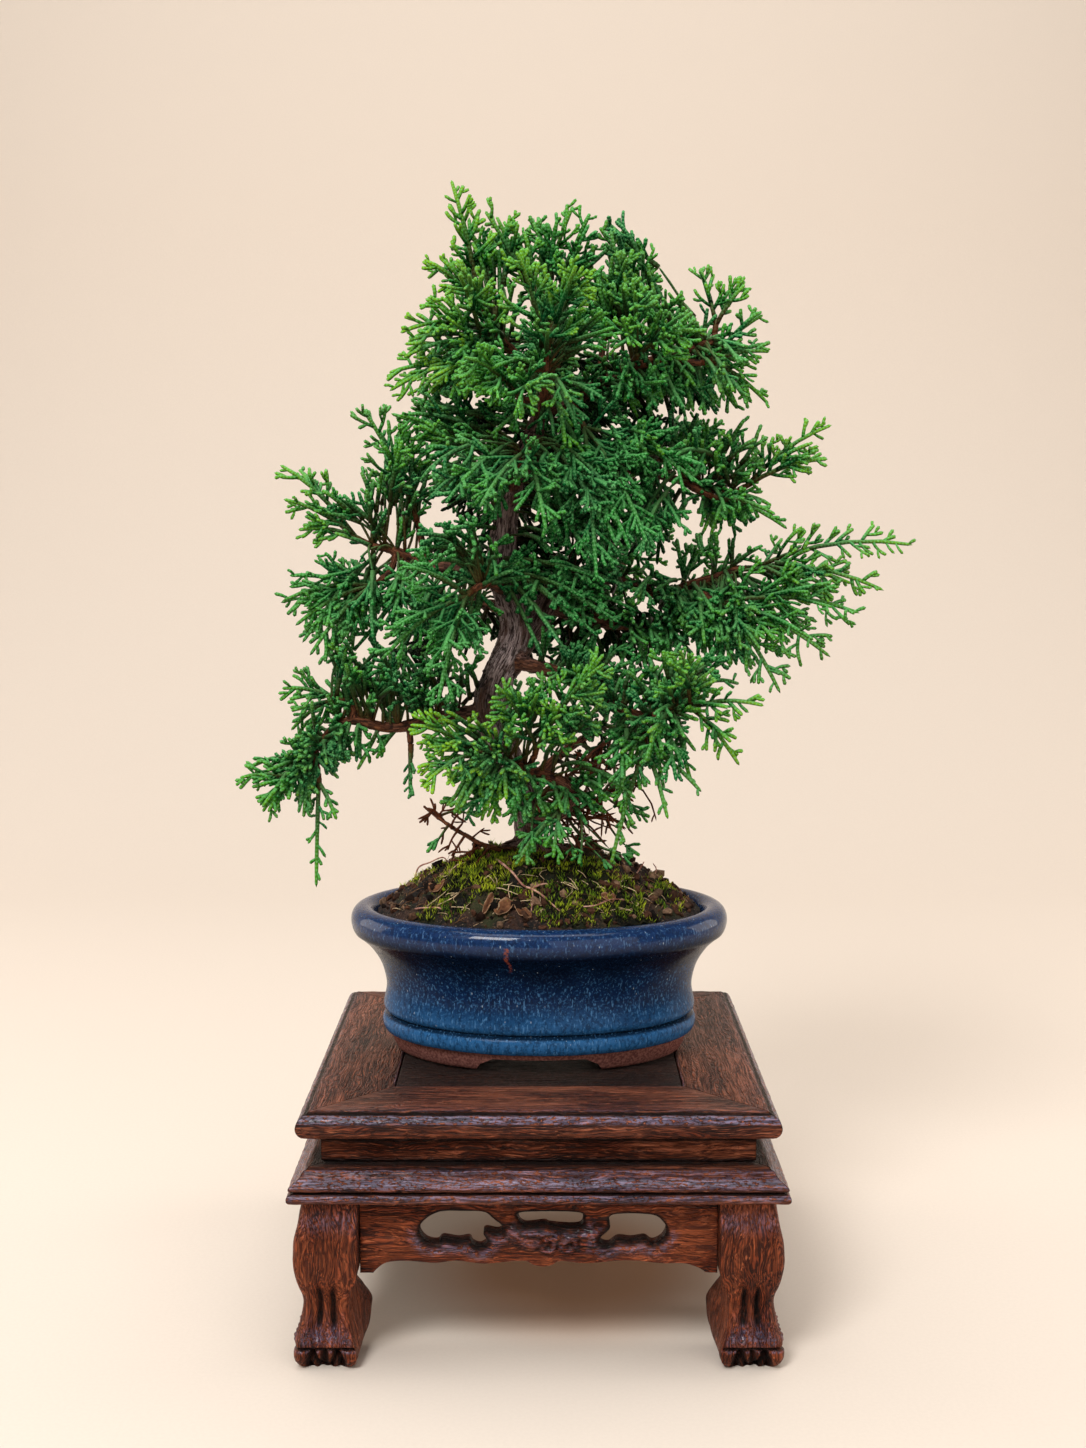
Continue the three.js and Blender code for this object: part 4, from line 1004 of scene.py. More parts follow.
def make_pad(order, limbs, centre, reach, count, fresh, droop):
    """Inner plumes that fill one part of the crown, each on a thin twig from the nearest limbs."""
    dice, skein = random.Random(PAD_SEED + order), Skein()
    wood, middle = limb_points(limbs), Vector(centre)
    for _ in range(round(count * chosen("foliage", "fullness"))):
        while True:
            ball = any_way(dice)
            if 0.3 < ball.length < 1:
                break
        tip = middle + ball * Vector(reach)
        gaps = np.linalg.norm(wood[:, :3] - np.array(tip), axis=1)
        gaps = gaps * np.array([dice.uniform(0.75, 1.3) for _ in wood])
        near = wood[int(gaps.argmin())]
        root = Vector(near[:3])
        apart = (tip - root).length
        if apart < 9:
            apart = SHORTEST_PLUME
            tip = root + (tip - root).normalized() * apart
        length = min(apart, max(13.0, apart * dice.uniform(0.5, 0.7)), LONGEST_PLUME)
        rise = Vector((0, 0, dice.uniform(0.05, 0.14) + 0.12 * droop)) * apart
        base = root.lerp(tip, 1 - length / apart) + rise * (1.0 if length < apart else 0.0)
        out = Vector((tip.x + 4, tip.y, 0)).normalized()
        random_way = any_way(dice)
        face = (out * 0.8 + Vector((0, -0.25, 0.35)) + random_way * 0.75).normalized()
        along = (tip - base).normalized()
        if abs(face.dot(along)) > 0.85:
            face = along.orthogonal().normalized()
        if length < apart - 2:
            sag = any_way(dice) * apart * 0.1
            skein.add("stem", root, root.lerp(base, 0.5) + rise * 0.5 + sag, base, face, (0.46, 0.36),
                      (0, 0.1), 0, (0.8, 0.2))
        bend = base.lerp(tip, 0.5) + rise * 0.5 + random_way * length * 0.12
        if any(hides_trunk(point) for point in (tip, bend, bend.lerp(tip, 0.5))):
            continue
        # Plumes deeper in the pad lose freshness, so they are painted darker, as shade inside the crown.
        depth = max(0, 0.85 - ball.length) * 1.6
        dress_stem(skein, dice, base, bend, tip, face, fresh * dice.uniform(0.5, 1.2) - depth, 0.1, (), 0.3,
                   dice.uniform(0.2, 0.9) + 0.9 * droop)
    return skein


def make_whips():
    """Long, nearly unbranched cords that fan out over the middle of the trunk."""
    dice, skein = random.Random(WHIP_SEED), Skein()
    for root, tip in WHIPS:
        root, tip = Vector(root), Vector(tip)
        bend = root.lerp(tip, 0.45) + Vector((dice.uniform(-1, 1), dice.uniform(-2, 0), dice.uniform(2, 5)))
        face = Vector((dice.uniform(-0.3, 0.3), -1, dice.uniform(0.1, 0.7))).normalized()
        dress_stem(skein, dice, root, bend, tip, face, dice.uniform(-0.5, 0), 0.1, (), 0.5, 2.6, 0.18)
    return skein


def twiglet(skein, dice, start, tip, radius, leafy):
    """A fine bare twig, with a fork of buds at its end if it is leafy."""
    start, tip = Vector(start), Vector(tip)
    length = (tip - start).length
    sway = any_way(dice)
    bend = start.lerp(tip, 0.5) + sway * length * 0.3
    face = sway.cross(tip - start).normalized()
    skein.add("shoot", start, bend, tip, face, (radius, radius * 0.75), (0, 0.1), 0, (1, 0.2 if leafy else 1))
    for _ in range(dice.randint(1, 3)):
        t = dice.uniform(0.3, 0.9)
        way, out = leave(curve_along(start, bend, tip, t), face, dice.choice((-1, 1)), dice.uniform(0.6, 1.0),
                         dice.uniform(-1, 1))
        root = curve_at(start, bend, tip, t)
        reach = dice.uniform(2.5, 6)
        skein.add("bud", root, root + (way * 0.5 + out * 0.15) * reach, root + way * reach, face,
                  (radius * 0.8, radius * 0.7), (0, 0.1), 0, (1, 1))
    if leafy:
        along = curve_along(start, bend, tip, 1)
        end = tip + along * dice.uniform(3, 5)
        shoot(skein, dice, tip - along * 0.5, end, along.orthogonal().normalized(), face, 0.3, 0.2)
        for side in (-1, 1):
            way, out = leave(along, face, side, 0.7, dice.uniform(-0.8, 0.8))
            bud(skein, dice, tip, way, out, dice.uniform(3, 5), face, 0.4, 0.2, 0.3)


def make_tangle():
    """The bare twigs in the shade of the lowest branches, and the fine ones on the dead twig."""
    dice, skein = random.Random(TANGLE_SEED), Skein()
    for start, tip, radius, leafy in TWIGLETS:
        twiglet(skein, dice, start, tip, radius, leafy)
    wood = limb_points(("bareTwigLow", "bareTwigHigh", "frontLow"))
    for order in range(TANGLE_TWIGS):
        near = Vector(wood[dice.randrange(len(wood) * 2 // 3)][:3])
        low, high = TANGLE
        end = Vector([dice.uniform(a, b) for a, b in zip(low, high)])
        if (end - near).length > LONGEST_PLUME:
            end = near + (end - near).normalized() * LONGEST_PLUME
        twiglet(skein, dice, near, end, dice.uniform(0.34, 0.5), order % 4 == 0)
    return skein


@once
def foliage_material():
    nodes = Surface("Juniper foliage")
    age, fresh, woody = nodes.parts(nodes.read("growth"))
    around, along, _ = nodes.parts(nodes.read("scales"))
    row = nodes.times(along, 0.95)
    odd = nodes.times(nodes.math("FLOOR", row), 0.125)
    across = nodes.math("PINGPONG", nodes.plus(around, odd), 0.125)
    rise = nodes.math("FRACT", nodes.math("SUBTRACT", row, nodes.times(across, 3.0)))
    scale = nodes.span(rise, 0.0, 0.8)
    coordinates = nodes.add("ShaderNodeTexCoord").outputs
    where = coordinates["Object"]
    upward = nodes.parts(coordinates["Normal"])[2]
    patch = nodes.grain(where, 55, 2)
    speck = nodes.grain(where, 900, 2)
    colour = nodes.blend(nodes.span(age, 0.15, 0.95), chosen("foliage", "shade"), chosen("foliage", "open"))
    colour = nodes.blend(nodes.span(patch, 0.42, 0.62), colour, chosen("foliage", "blue"))
    colour = nodes.blend(nodes.span(fresh, 0.32, 0.02, 0, 0.5), colour, chosen("foliage", "blue"))
    young = nodes.times(nodes.span(age, 0.5, 0.95), fresh)
    colour = nodes.blend(nodes.times(young, 0.95, clamp=True), colour, chosen("foliage", "young"))
    # Growth with a negative freshness is painted near-black: older growth and painted shade deep in the
    # crown.
    old_shaded_growth = nodes.times(fresh, -0.9, clamp=True)
    colour = nodes.blend(old_shaded_growth, colour, tone(2, 22, 8))
    # The scales' pale tips: partly their own colour, partly painted highlight.
    tips = nodes.times(nodes.span(rise, 0.5, 0.92), nodes.span(old_shaded_growth, 0, 1, 0.48, 0.1))
    colour = nodes.blend(nodes.times(tips, nodes.span(age, 0.3, 1.0, 0.35, 1.0)), colour,
                         chosen("foliage", "tips"))
    # Painted shade: the down-facing side of the cords is darkened.
    colour = nodes.blend(nodes.span(upward, 0.0, -0.9, 0, 0.65), colour, tone(0, 16, 4))
    # Painted highlight on the up-facing side of the cords, weaker on shaded old growth and on young tips.
    top_highlight = nodes.times(nodes.span(upward, 0.05, 0.85), nodes.span(old_shaded_growth, 0, 1, 0.62, 0.0))
    top_highlight = nodes.times(top_highlight, nodes.span(young, 0, 1, 1.0, 0.4))
    colour = nodes.blend(top_highlight, colour, chosen("foliage", "top_highlight"))
    colour = nodes.blend(nodes.span(speck, 0.3, 0.75, 0.25, 0.0), colour, tone(4, 28, 14))
    colour = nodes.blend(woody, colour, chosen("foliage", "twigs"))
    return nodes.finish(colour, nodes.span(speck, 0.3, 0.7, 0.3, 0.46), 0.05, (0.4, 0.3 * MM, scale))


# ---- Trunk, branches and roots ----


def smooth_stations(stations, step):
    """Stations along a smooth curve through the given ones, about a step apart."""
    rows = [np.array(station, float) for station in stations]
    rows = [rows[0] * 2 - rows[1]] + rows + [rows[-1] * 2 - rows[-2]]
    made = []
    for a, b, c, d in zip(rows, rows[1:], rows[2:], rows[3:]):
        count = max(1, round(np.linalg.norm(c[:3] - b[:3]) / step))
        made += [smooth_step(a, b, c, d, i / count) for i in range(count)]
    return np.array(made + [rows[-2]])


def limb_frames(stations):
    """Two directions square to the limb at each station, carried along without twist."""
    centres = stations[:, :3]
    along = np.gradient(centres, axis=0)
    along /= np.linalg.norm(along, axis=1, keepdims=True)
    side = np.cross((1, 0, 0) if abs(along[0][2]) > 0.9 else (0, 0, 1), along[0])
    sides, acrosses = [], []
    for way in along:
        side = side - way * (side @ way)
        side /= np.linalg.norm(side)
        sides.append(side)
        acrosses.append(np.cross(way, side))
    return np.array(sides), np.array(acrosses)


def tube(stations, sides, lobes=0.0):
    """A closed tube through the stations, with lobes that wind along it: points, faces and end faces."""
    side, across = limb_frames(stations)
    turn = np.arange(sides) * 2 * math.pi / sides
    count = len(stations)
    crests = np.sin(3 * turn[None, :] + np.linspace(0, count * 0.045, count)[:, None])
    hollows = np.cos(2 * turn[None, :] - np.linspace(0, count * 0.03, count)[:, None])
    radius = stations[:, 3:4] * (1 + lobes * crests + lobes * 0.6 * hollows)
    ring = (np.cos(turn)[None, :, None] * side[:, None] + np.sin(turn)[None, :, None] * across[:, None])
    points = (stations[:, None, :3] + radius[:, :, None] * ring).reshape(-1, 3)
    k = np.arange(sides)
    caps = np.stack([k[::-1], (count - 1) * sides + k])
    return points, wall_faces(count, sides), caps


def joined_tubes(name, tubes, material):
    """One piece from many tubes."""
    points, quads, caps, first = [], [], {}, 0
    for some_points, some_quads, some_caps in tubes:
        points.append(some_points)
        quads.append(some_quads + first)
        caps.setdefault(some_caps.shape[1], []).append(some_caps + first)
        first += len(some_points)
    faces = [np.concatenate(quads)] + [np.concatenate(block) for block in caps.values()]
    return new_mesh(name, placed(np.concatenate(points)), faces, material)


def ridge(value):
    """Turns smooth noise into sharp crests."""
    return 1 - abs(2 * value)


def bark_relief(x, y, s, radius):
    """The bark's height, how deep in a crack it lies and its fibre, at a place round and along the limb."""
    spiral = 0.045 * s
    u = x * math.cos(spiral) - y * math.sin(spiral)
    v = x * math.sin(spiral) + y * math.cos(spiral)
    warp = noise.noise(Vector((u * 0.12, v * 0.12, s * 0.09)))
    strand = noise.noise(Vector((u * 0.55 + warp * 2.2, v * 0.55, s * 0.07 + warp)))
    fibre = noise.noise(Vector((u * 1.5 + warp, v * 1.5 - warp, s * 0.16)))
    fine = noise.noise(Vector((u * 3.4, v * 3.4, s * 0.4)))
    gap = noise.voronoi(Vector((u * 0.34 + warp, v * 0.34, s * 0.085 + warp * 1.5)))[0]
    crack = max(0.0, 1 - (gap[1] - gap[0]) / 0.11)
    size = min(1.0, radius / 4.5)
    height = 0.62 * size * ridge(strand) + 0.36 * size * ridge(fibre) + 0.1 * fine - 0.85 * size * crack
    return height, crack, fibre


def make_wood(material, voxel):
    """The trunk, limbs, roots and twigs fused into one skin, with bark raised along each limb."""
    tubes, lines = [], []
    for name, stations in LIMBS.items():
        thick = max(station[3] for station in stations) > 3
        lines.append(smooth_stations(stations, 1.2 if thick else 1.6))
        lobes = 0.1 if name == "trunk" else 0.05
        tubes.append(tube(lines[-1], 22 if thick else 12, lobes))
    for spray in SPRAYS.values():
        lines.append(smooth_stations(twig_stations(spray), 1.6))
        tubes.append(tube(lines[-1], 9))
    piece = joined_tubes("juniper_wood", tubes, material)
    apply_modifier(piece, "REMESH", mode="VOXEL", voxel_size=voxel, use_smooth_shade=True)
    apply_modifier(piece, "SMOOTH", factor=0.5, iterations=3)
    raise_bark(piece, lines)
    return piece


def raise_bark(piece, lines):
    """Raises the bark from each point's place round and along the limb nearest to it."""
    samples = np.vstack(lines)
    frames = [limb_frames(line) for line in lines]
    side, across = np.vstack([f[0] for f in frames]), np.vstack([f[1] for f in frames])
    lengths = np.concatenate([line_lengths(line[:, :3]) + 37.0 * i for i, line in enumerate(lines)])
    tree = kdtree.KDTree(len(samples))
    for i, sample in enumerate(samples):
        tree.insert(sample[:3], i)
    tree.balance()
    count = len(piece.data.vertices)
    corners, normals = np.zeros(count * 3), np.zeros(count * 3)
    piece.data.vertices.foreach_get("co", corners)
    piece.data.vertices.foreach_get("normal", normals)
    points = (corners.reshape(-1, 3) - np.array(STAND_MIDDLE)) / MM
    bark, marks, moved = np.zeros((count, 3)), np.zeros((count, 3)), np.zeros((count, 1))
    for i, point in enumerate(points):
        j = min(tree.find_n(point, 5), key=lambda found: found[2] - samples[found[1]][3])[1]
        away = point - samples[j, :3]
        x, y, s = away @ side[j], away @ across[j], lengths[j]
        radius = samples[j, 3]
        height, crack, fibre = bark_relief(x, y, s, radius)
        moved[i] = height - 0.35 * min(1.0, radius / 4.5)
        bark[i] = (x, y, s)
        marks[i] = (min(1.0, max(0.0, crack)), min(1.0, max(0.0, (radius - 1.6) / 2.2)), fibre)
    move_points(piece, placed(points + normals.reshape(-1, 3) * moved))
    piece.data.update()
    set_attribute(piece, "bark", bark)
    set_attribute(piece, "marks", marks)


@once
def bark_material():
    nodes = Surface("Juniper bark")
    bark = nodes.read("bark")
    crack, thick, _ = nodes.parts(nodes.read("marks"))
    fibres = nodes.grain(nodes.stretch(bark, (1.6, 1.6, 0.22)), 1.6, 4, 0.6, 0.4)
    hair = nodes.grain(nodes.stretch(bark, (4, 4, 0.35)), 2.0, 3, 0.6)
    patch = nodes.grain(nodes.stretch(bark, (0.3, 0.3, 0.08)), 1.0, 2)
    grey = nodes.blend(nodes.span(fibres, 0.38, 0.62), tone(64, 50, 52), chosen("wood", "grey"))
    grey = nodes.blend(nodes.span(patch, 0.45, 0.7), grey, tone(88, 60, 48))
    brown = nodes.blend(nodes.span(fibres, 0.35, 0.65), tone(50, 26, 17), chosen("wood", "brown"))
    colour = nodes.blend(thick, brown, grey)
    colour = nodes.blend(nodes.span(hair, 0.35, 0.65, 0.45, 0.0), colour, tone(38, 24, 20))
    # Painted shade: the bark's cracks are darkened to near black.
    colour = nodes.blend(nodes.times(crack, 0.9), colour, tone(16, 10, 8))
    height = nodes.plus(fibres, nodes.times(hair, 0.6))
    return nodes.finish(colour, nodes.span(fibres, 0.3, 0.7, 0.9, 0.68), 0.2, (0.7, 0.5 * MM, height))


# ---- Pot ----

POT_BASE = 71.3
POT_FLOOR = 79.3
# Half length, half depth and height, from the underside up the outside and down the inside; each run ends
# at a corner
POT_RUNS = [
    [(37.6, 25.0, 75.2), (38.2, 25.5, 74.4), (39.2, 26.3, 71.5)],
    [(39.2, 26.3, 71.5), (39.8, 26.8, POT_BASE), (42.1, 28.7, POT_BASE), (42.8, 29.3, 71.6)],
    [(42.8, 29.3, 71.6), (44.0, 30.4, 73.9), (44.9, 31.2, 76.7)],
    [(44.9, 31.2, 76.7), (45.7, 31.9, 76.8), (46.5, 32.6, 77.3), (47.1, 33.1, 78.5), (47.3, 33.3, 79.8),
     (46.9, 33.0, 81.3), (46.1, 32.3, 82.0)],
    [(46.1, 32.3, 82.0), (45.1, 31.5, 82.4), (45.9, 32.1, 82.9)],
    [(45.9, 32.1, 82.9), (46.7, 32.8, 83.7), (46.9, 33.0, 85.2), (46.5, 32.6, 87.2), (46.0, 32.2, 90.0),
     (46.2, 32.3, 92.6), (46.9, 32.9, 95.6), (48.0, 33.9, 98.4), (49.6, 35.2, 101.0), (51.4, 36.9, 103.3),
     (53.2, 38.7, 105.0), (54.4, 39.9, 106.0)],
    [(54.4, 39.9, 106.0), (55.3, 40.8, 106.6), (56.1, 41.5, 108.2), (56.5, 41.9, 110.4), (56.1, 41.5, 112.5),
     (55.0, 40.5, 114.0), (53.4, 38.9, 114.8), (51.8, 37.4, 114.9), (50.2, 35.9, 114.2), (49.3, 35.1, 112.8),
     (48.6, 34.5, 110.6)],
    [(48.6, 34.5, 110.6), (44.6, 30.8, 101), (41.6, 28.2, 92), (41.6, 28.2, 84), (38, 25, POT_FLOOR)],
]
# The arch between the feet, along and up
FOOT_GAP = [(-19, 70), (19, 70), (17, 73.4), (13.4, 75.3), (-13.4, 75.3), (-17, 73.4)]
DRAIN_OFFSET = 19
DRAIN_RADIUS = 5


def pot_rings():
    rings = []
    for run in POT_RUNS:
        curve = smooth_stations([(*station, 1) for station in run], 1.0)[:, :3]
        rings.extend(curve if not rings else curve[1:])
    return rings


def cut_away(piece, cutter):
    """Takes the cutter's shape out of the piece, then removes the cutter."""
    apply_modifier(piece, "BOOLEAN", operation="DIFFERENCE", solver="EXACT", object=cutter)
    bpy.data.objects.remove(cutter)


def make_pot(segments):
    """Draws the oval shell up ring by ring, then cuts the gap between its feet and its drain holes."""
    rings = pot_rings()

    def draw_up():
        length, depth, height = rings[0]
        bpy.ops.transform.resize(value=(length * MM, depth * MM, 1))
        bpy.ops.transform.translate(value=(0, 0, height * MM))
        for below, ring in zip(rings, rings[1:]):
            rise = (0, 0, (ring[2] - below[2]) * MM)
            bpy.ops.mesh.extrude_region_move(TRANSFORM_OT_translate={"value": rise})
            bpy.ops.transform.resize(value=(ring[0] / below[0], ring[1] / below[1], 1))

    piece = start_profile("glazed_pot", segments)
    edit(draw_up, weld, turn_faces_out)
    piece.data.transform(Matrix.Translation(STAND_MIDDLE))
    points = placed([(x, y, z) for y in (-45, 45) for x, z in FOOT_GAP])
    ends = np.array([[5, 4, 3, 2, 1, 0], [6, 7, 8, 9, 10, 11]])
    cutter = new_mesh("foot_gap", points, [wall_faces(2, len(FOOT_GAP)), ends], None, False)
    pick(cutter)
    edit(turn_faces_out)
    cut_away(piece, cutter)
    for side in (-1, 1):
        place = placed([side * DRAIN_OFFSET, 0, (POT_BASE + POT_FLOOR) / 2])
        cut_away(piece, start_piece("drain", bpy.ops.mesh.primitive_cylinder_add, vertices=32,
                                    radius=DRAIN_RADIUS * MM, depth=20 * MM, location=place))
    return polish_up(piece, 40, glaze_material())


@once
def glaze_material():
    nodes = Surface("Blue glaze and bare clay")
    where = nodes.place()
    width, depth, height = nodes.parts(where)
    flow = nodes.grain(nodes.stretch(where, (1, 1, 0.45)), 900, 5, 0.75)
    mottle = nodes.grain(where, 1300, 3, 0.6)
    speck = nodes.grain(where, 1500, 2)
    cloud = nodes.grain(where, 60, 3)
    fleck = nodes.cells(nodes.stretch(where, (1.5, 1.5, 0.5)), 330)
    high = nodes.plus(height, nodes.times(nodes.math("SUBTRACT", cloud, 0.5), 0.012))
    low_shade = nodes.span(high, 0.079, 0.094)
    neck = nodes.span(high, 0.094, 0.105)
    rim = nodes.span(height, 0.1065, 0.111)
    colour = nodes.blend(low_shade, chosen("pot", "foot"), chosen("pot", "belly"))
    colour = nodes.blend(neck, colour, chosen("pot", "neck"))
    colour = nodes.blend(rim, colour, chosen("pot", "rim"))
    colour = nodes.blend(nodes.span(flow, 0.45, 0.62, 0, 0.6), colour, tone(6, 18, 40))
    mist = nodes.blend(rim, nodes.blend(neck, tone(60, 112, 162), tone(12, 32, 60)), tone(46, 84, 128))
    colour = nodes.blend(nodes.span(mottle, 0.52, 0.68, 0, 0.5), colour, mist)
    # Painted shadow: a thin dark line along the groove at the belt.
    groove_shadow = nodes.times(nodes.span(height, 0.0812, 0.0819), nodes.span(height, 0.0832, 0.0827))
    colour = nodes.blend(nodes.times(groove_shadow, 0.85), colour, tone(4, 12, 26))
    stroke = nodes.grain(nodes.stretch(where, (1.7, 1.7, 0.5)), 1000, 2)
    bright = nodes.blend(rim, nodes.blend(neck, tone(86, 140, 190), tone(18, 38, 68)), tone(84, 126, 172))
    colour = nodes.blend(nodes.span(stroke, 0.6, 0.68, 0, 0.5), colour, bright)
    colour = nodes.blend(nodes.span(fleck, 0.08, 0.05, 0, 0.6), colour, tone(180, 198, 214))
    aside = nodes.plus(width, nodes.times(nodes.math("SUBTRACT", cloud, 0.5), 0.012))
    aside = nodes.math("ABSOLUTE", nodes.math("SUBTRACT", aside, STAND_MIDDLE.x - 0.0092))
    rust = nodes.times(nodes.span(aside, 0.0008, 0.0003), nodes.span(mottle, 0.4, 0.55))
    rust = nodes.times(rust, nodes.span(height, 0.1015, 0.1045))
    rust = nodes.times(rust, nodes.math("LESS_THAN", height, 0.1105))
    rust = nodes.times(rust, nodes.math("LESS_THAN", depth, STAND_MIDDLE.y))
    colour = nodes.blend(nodes.times(rust, 0.85), colour, tone(128, 62, 44))
    clay = nodes.blend(nodes.span(speck, 0.35, 0.65), tone(104, 64, 60), chosen("pot", "clay"))
    ragged = nodes.plus(height, nodes.times(nodes.math("SUBTRACT", cloud, 0.5), 0.0016))
    bare = nodes.math("LESS_THAN", ragged, 0.0769)
    colour = nodes.blend(bare, colour, clay)
    roughness = nodes.plus(nodes.times(bare, 0.6), nodes.span(flow, 0.3, 0.7, 0.16, 0.3))
    coat = nodes.times(nodes.math("SUBTRACT", 1.0, bare), nodes.span(rim, 0, 1, 0.03, 0.42))
    dimples = nodes.plus(flow, nodes.times(mottle, 0.7))
    return nodes.finish(colour, roughness, 0.06, (0.3, 0.3 * MM, dimples), coat_weight=coat,
                        coat_roughness=0.04)


# ---- Stand ----

MITRE_GAP = 0.2
PANEL_WIDTH, PANEL_THICKNESS, PANEL_MIDDLE = 80.4, 4.4, 68.5
# Distance out and height round each profile, then how much painted sheen and worn flecks and how much painted
# shade each corner of it has
RAIL_PROFILE = [
    (38.0, 63.4, 0, 0), (50.0, 63.4, 0, 0.3), (61.0, 63.4, 0, 0.3), (61.9, 63.42, 0, 0), (63.0, 63.65, 0, 0),
    (63.9, 64.1, 0, 0), (64.6, 64.9, 0, 0), (65.0, 65.7, 0, 0), (65.2, 66.5, 0, 0), (65.2, 67.2, 0, 0.1),
    (65.05, 67.9, 0.1, 0.5), (64.8, 68.5, 0.9, 0), (64.4, 69.15, 1, 0), (63.9, 69.7, 1, 0),
    (63.35, 70.1, 0.7, 0.2), (63.0, 70.15, 0.1, 1), (62.5, 70.2, 0, 1), (62.1, 70.6, 0, 0.5),
    (61.6, 70.92, 0.3, 0), (60.8, 71.0, 0.1, 0), (54, 71.0, 0, 0), (47, 71.0, 0, 0), (41.2, 71.0, 0, 0),
    (40.7, 70.9, 0.5, 0), (40.5, 70.6, 0, 0.6), (40.5, 66, 0, 1), (38, 66, 0, 1),
]
WAIST_PROFILE = [
    (54, 55.9, 0, 1), (58.6, 55.9, 0, 1), (59, 56.3, 0, 0.6), (59, 57.8, 0, 0.1), (59, 60.6, 0, 0.2),
    (59, 62.3, 0, 0.8), (59, 63.1, 0, 1), (54, 63.1, 0, 1),
]
MOULDING_PROFILE = [
    (53, 46.8, 0, 1), (60, 46.8, 0, 1), (66.5, 46.8, 0, 0.2), (67.1, 46.95, 0, 0), (67.5, 47.5, 0.1, 0),
    (67.6, 48.1, 0.5, 0), (67.5, 48.7, 1, 0), (67.1, 49.2, 0.6, 0), (66.5, 49.4, 0, 0.7), (65.9, 49.5, 0, 1),
    (65.7, 49.75, 0, 1), (65.9, 50.0, 0, 1), (66.6, 50.1, 0, 0.4), (67.0, 50.4, 0, 0), (67.1, 50.8, 0.2, 0),
    (66.8, 51.3, 0.7, 0), (66.2, 51.8, 1, 0), (65.4, 52.3, 1, 0), (64.6, 52.9, 0.8, 0), (64.0, 53.6, 0.3, 0),
    (63.7, 54.3, 0.6, 0), (63.3, 54.7, 0.9, 0), (62.6, 54.9, 0.2, 0.5), (62.2, 55.5, 0, 0.3),
    (59.5, 55.6, 0, 0.8), (53, 55.6, 0, 1),
]

APRON_END = 48.6
APRON_FRONT = 61
APRON_THICKNESS = 4.5
APRON_EDGE = [
    (-APRON_END, 46.5), (-APRON_END, 25.2), (-45, 25.2), (-43.6, 26.7), (-41.3, 28.1), (-36.3, 28.6),
    (-28.2, 28), (-22.4, 28.6), (-14.8, 27.8), (-4.6, 28.6), (-1.4, 27.4), (1.2, 26.9), (3.6, 27.4),
    (6, 28.5), (13, 27.9), (23.7, 28.7), (33.5, 27.9), (39.2, 27.9), (43.3, 26.7), (45.4, 25.3),
    (APRON_END, 25.2), (APRON_END, 46.5),
]
APRON_OPENINGS = [
    [(-26.9, 42.3), (-31.4, 39.6), (-32.3, 36.7), (-30.5, 34.2), (-27.6, 33.6), (-26, 34.8), (-21.9, 34.2),
     (-18.8, 34.6), (-17.9, 33.2), (-15.9, 32.5), (-14, 33.9), (-15, 36), (-14.3, 37.1), (-10.8, 36.6),
     (-9.9, 38.2), (-12.5, 40.5), (-14.8, 42.2), (-20, 42.5)],
    [(-4.3, 42.2), (-5.5, 40.6), (-3.7, 38.5), (1.7, 38.9), (3, 38.4), (8.7, 37.9), (11.5, 38.4), (12, 40.6),
     (10.2, 42.2)],
    [(20, 41.4), (19.3, 37.6), (16.7, 34.9), (17, 33.5), (19, 32.9), (21.6, 34.5), (25.2, 34.2), (28.8, 34.7),
     (30.9, 33.5), (33.3, 34.6), (34.6, 36.8), (34, 39.2), (30.4, 41.5)],
]
# Carved curls under the middle opening, each a line drawn on the board with its width and its height
APRON_CURLS = [
    ([(-7.5, 37.2), (-6, 35), (-3.6, 33.6), (-1, 33.6)], 1.1, 0.7),
    ([(0.6, 36.4), (0.2, 34), (1.2, 31.8), (3.2, 31.4), (4.2, 33), (3.4, 35), (2, 34.6)], 0.6, 0.8),
    ([(5.2, 36), (5.6, 33.2), (7.4, 31.6), (9.6, 32.2), (9.8, 34.4), (8, 35), (7.2, 33.8)], 0.6, 0.8),
    ([(10.6, 36), (10.4, 33.2), (11.6, 31.9), (14.5, 31.7), (17.6, 31.4)], 0.5, 0.6),
    ([(11.8, 36.4), (14.6, 36.2), (16.2, 37.8)], 0.9, 0.6),
]

# Height, outer face, inner edge of the front face and inner corner, out from the middle of the stand
LEG_LEVELS = [
    (0, 64.0, 51.4, 51.6), (0.7, 65.1, 50.3, 50.2), (2.4, 66.0, 49.4, 48.9), (4.6, 66.25, 49.2, 47.8),
    (7, 65.9, 49.8, 47.2), (10, 65.1, 50.6, 46.9), (13, 64.3, 51.1, 46.9), (17.5, 63.7, 51.4, 48.8),
    (20, 64.0, 51.3, 50.2), (22, 64.7, 50.7, 50.6), (25, 65.6, 49.3, 49.3), (28, 66.2, 48.95, 48.95),
    (31, 66.4, 48.9, 48.9), (35, 66.1, 48.9, 48.9), (39, 65.3, 48.9, 48.9), (43, 64.5, 48.9, 48.9),
    (46.5, 63.9, 48.9, 48.9),
]
LEG_TOP = 46.5
LEG_CORNER_CUT = 1.5
LEG_SIDES = 100


def four_sides(name, piece, slot, node, corners=False):
    """Copies the front piece round to the other three sides of the stand, each with its own mesh."""
    sides = ("front", "right", "back", "left")
    if corners:
        sides = ("front_left", "front_right", "back_right", "back_left")
    copies = [piece]
    for turn in (1, 2, 3):
        copy = piece.copy()
        copy.data = piece.data.copy()
        bpy.context.scene.collection.objects.link(copy)
        shift_grain(copy, turn)
        copy.data.transform(Matrix.Rotation(turn * math.pi / 2, 4, "Z"))
        copies.append(copy)
    for copy, side in zip(copies, sides):
        copy.name = copy.data.name = f"{name}_{side}"
        copy.data.transform(Matrix.Translation(STAND_MIDDLE))
        seat(copy, slot, f"{node}_{side}")


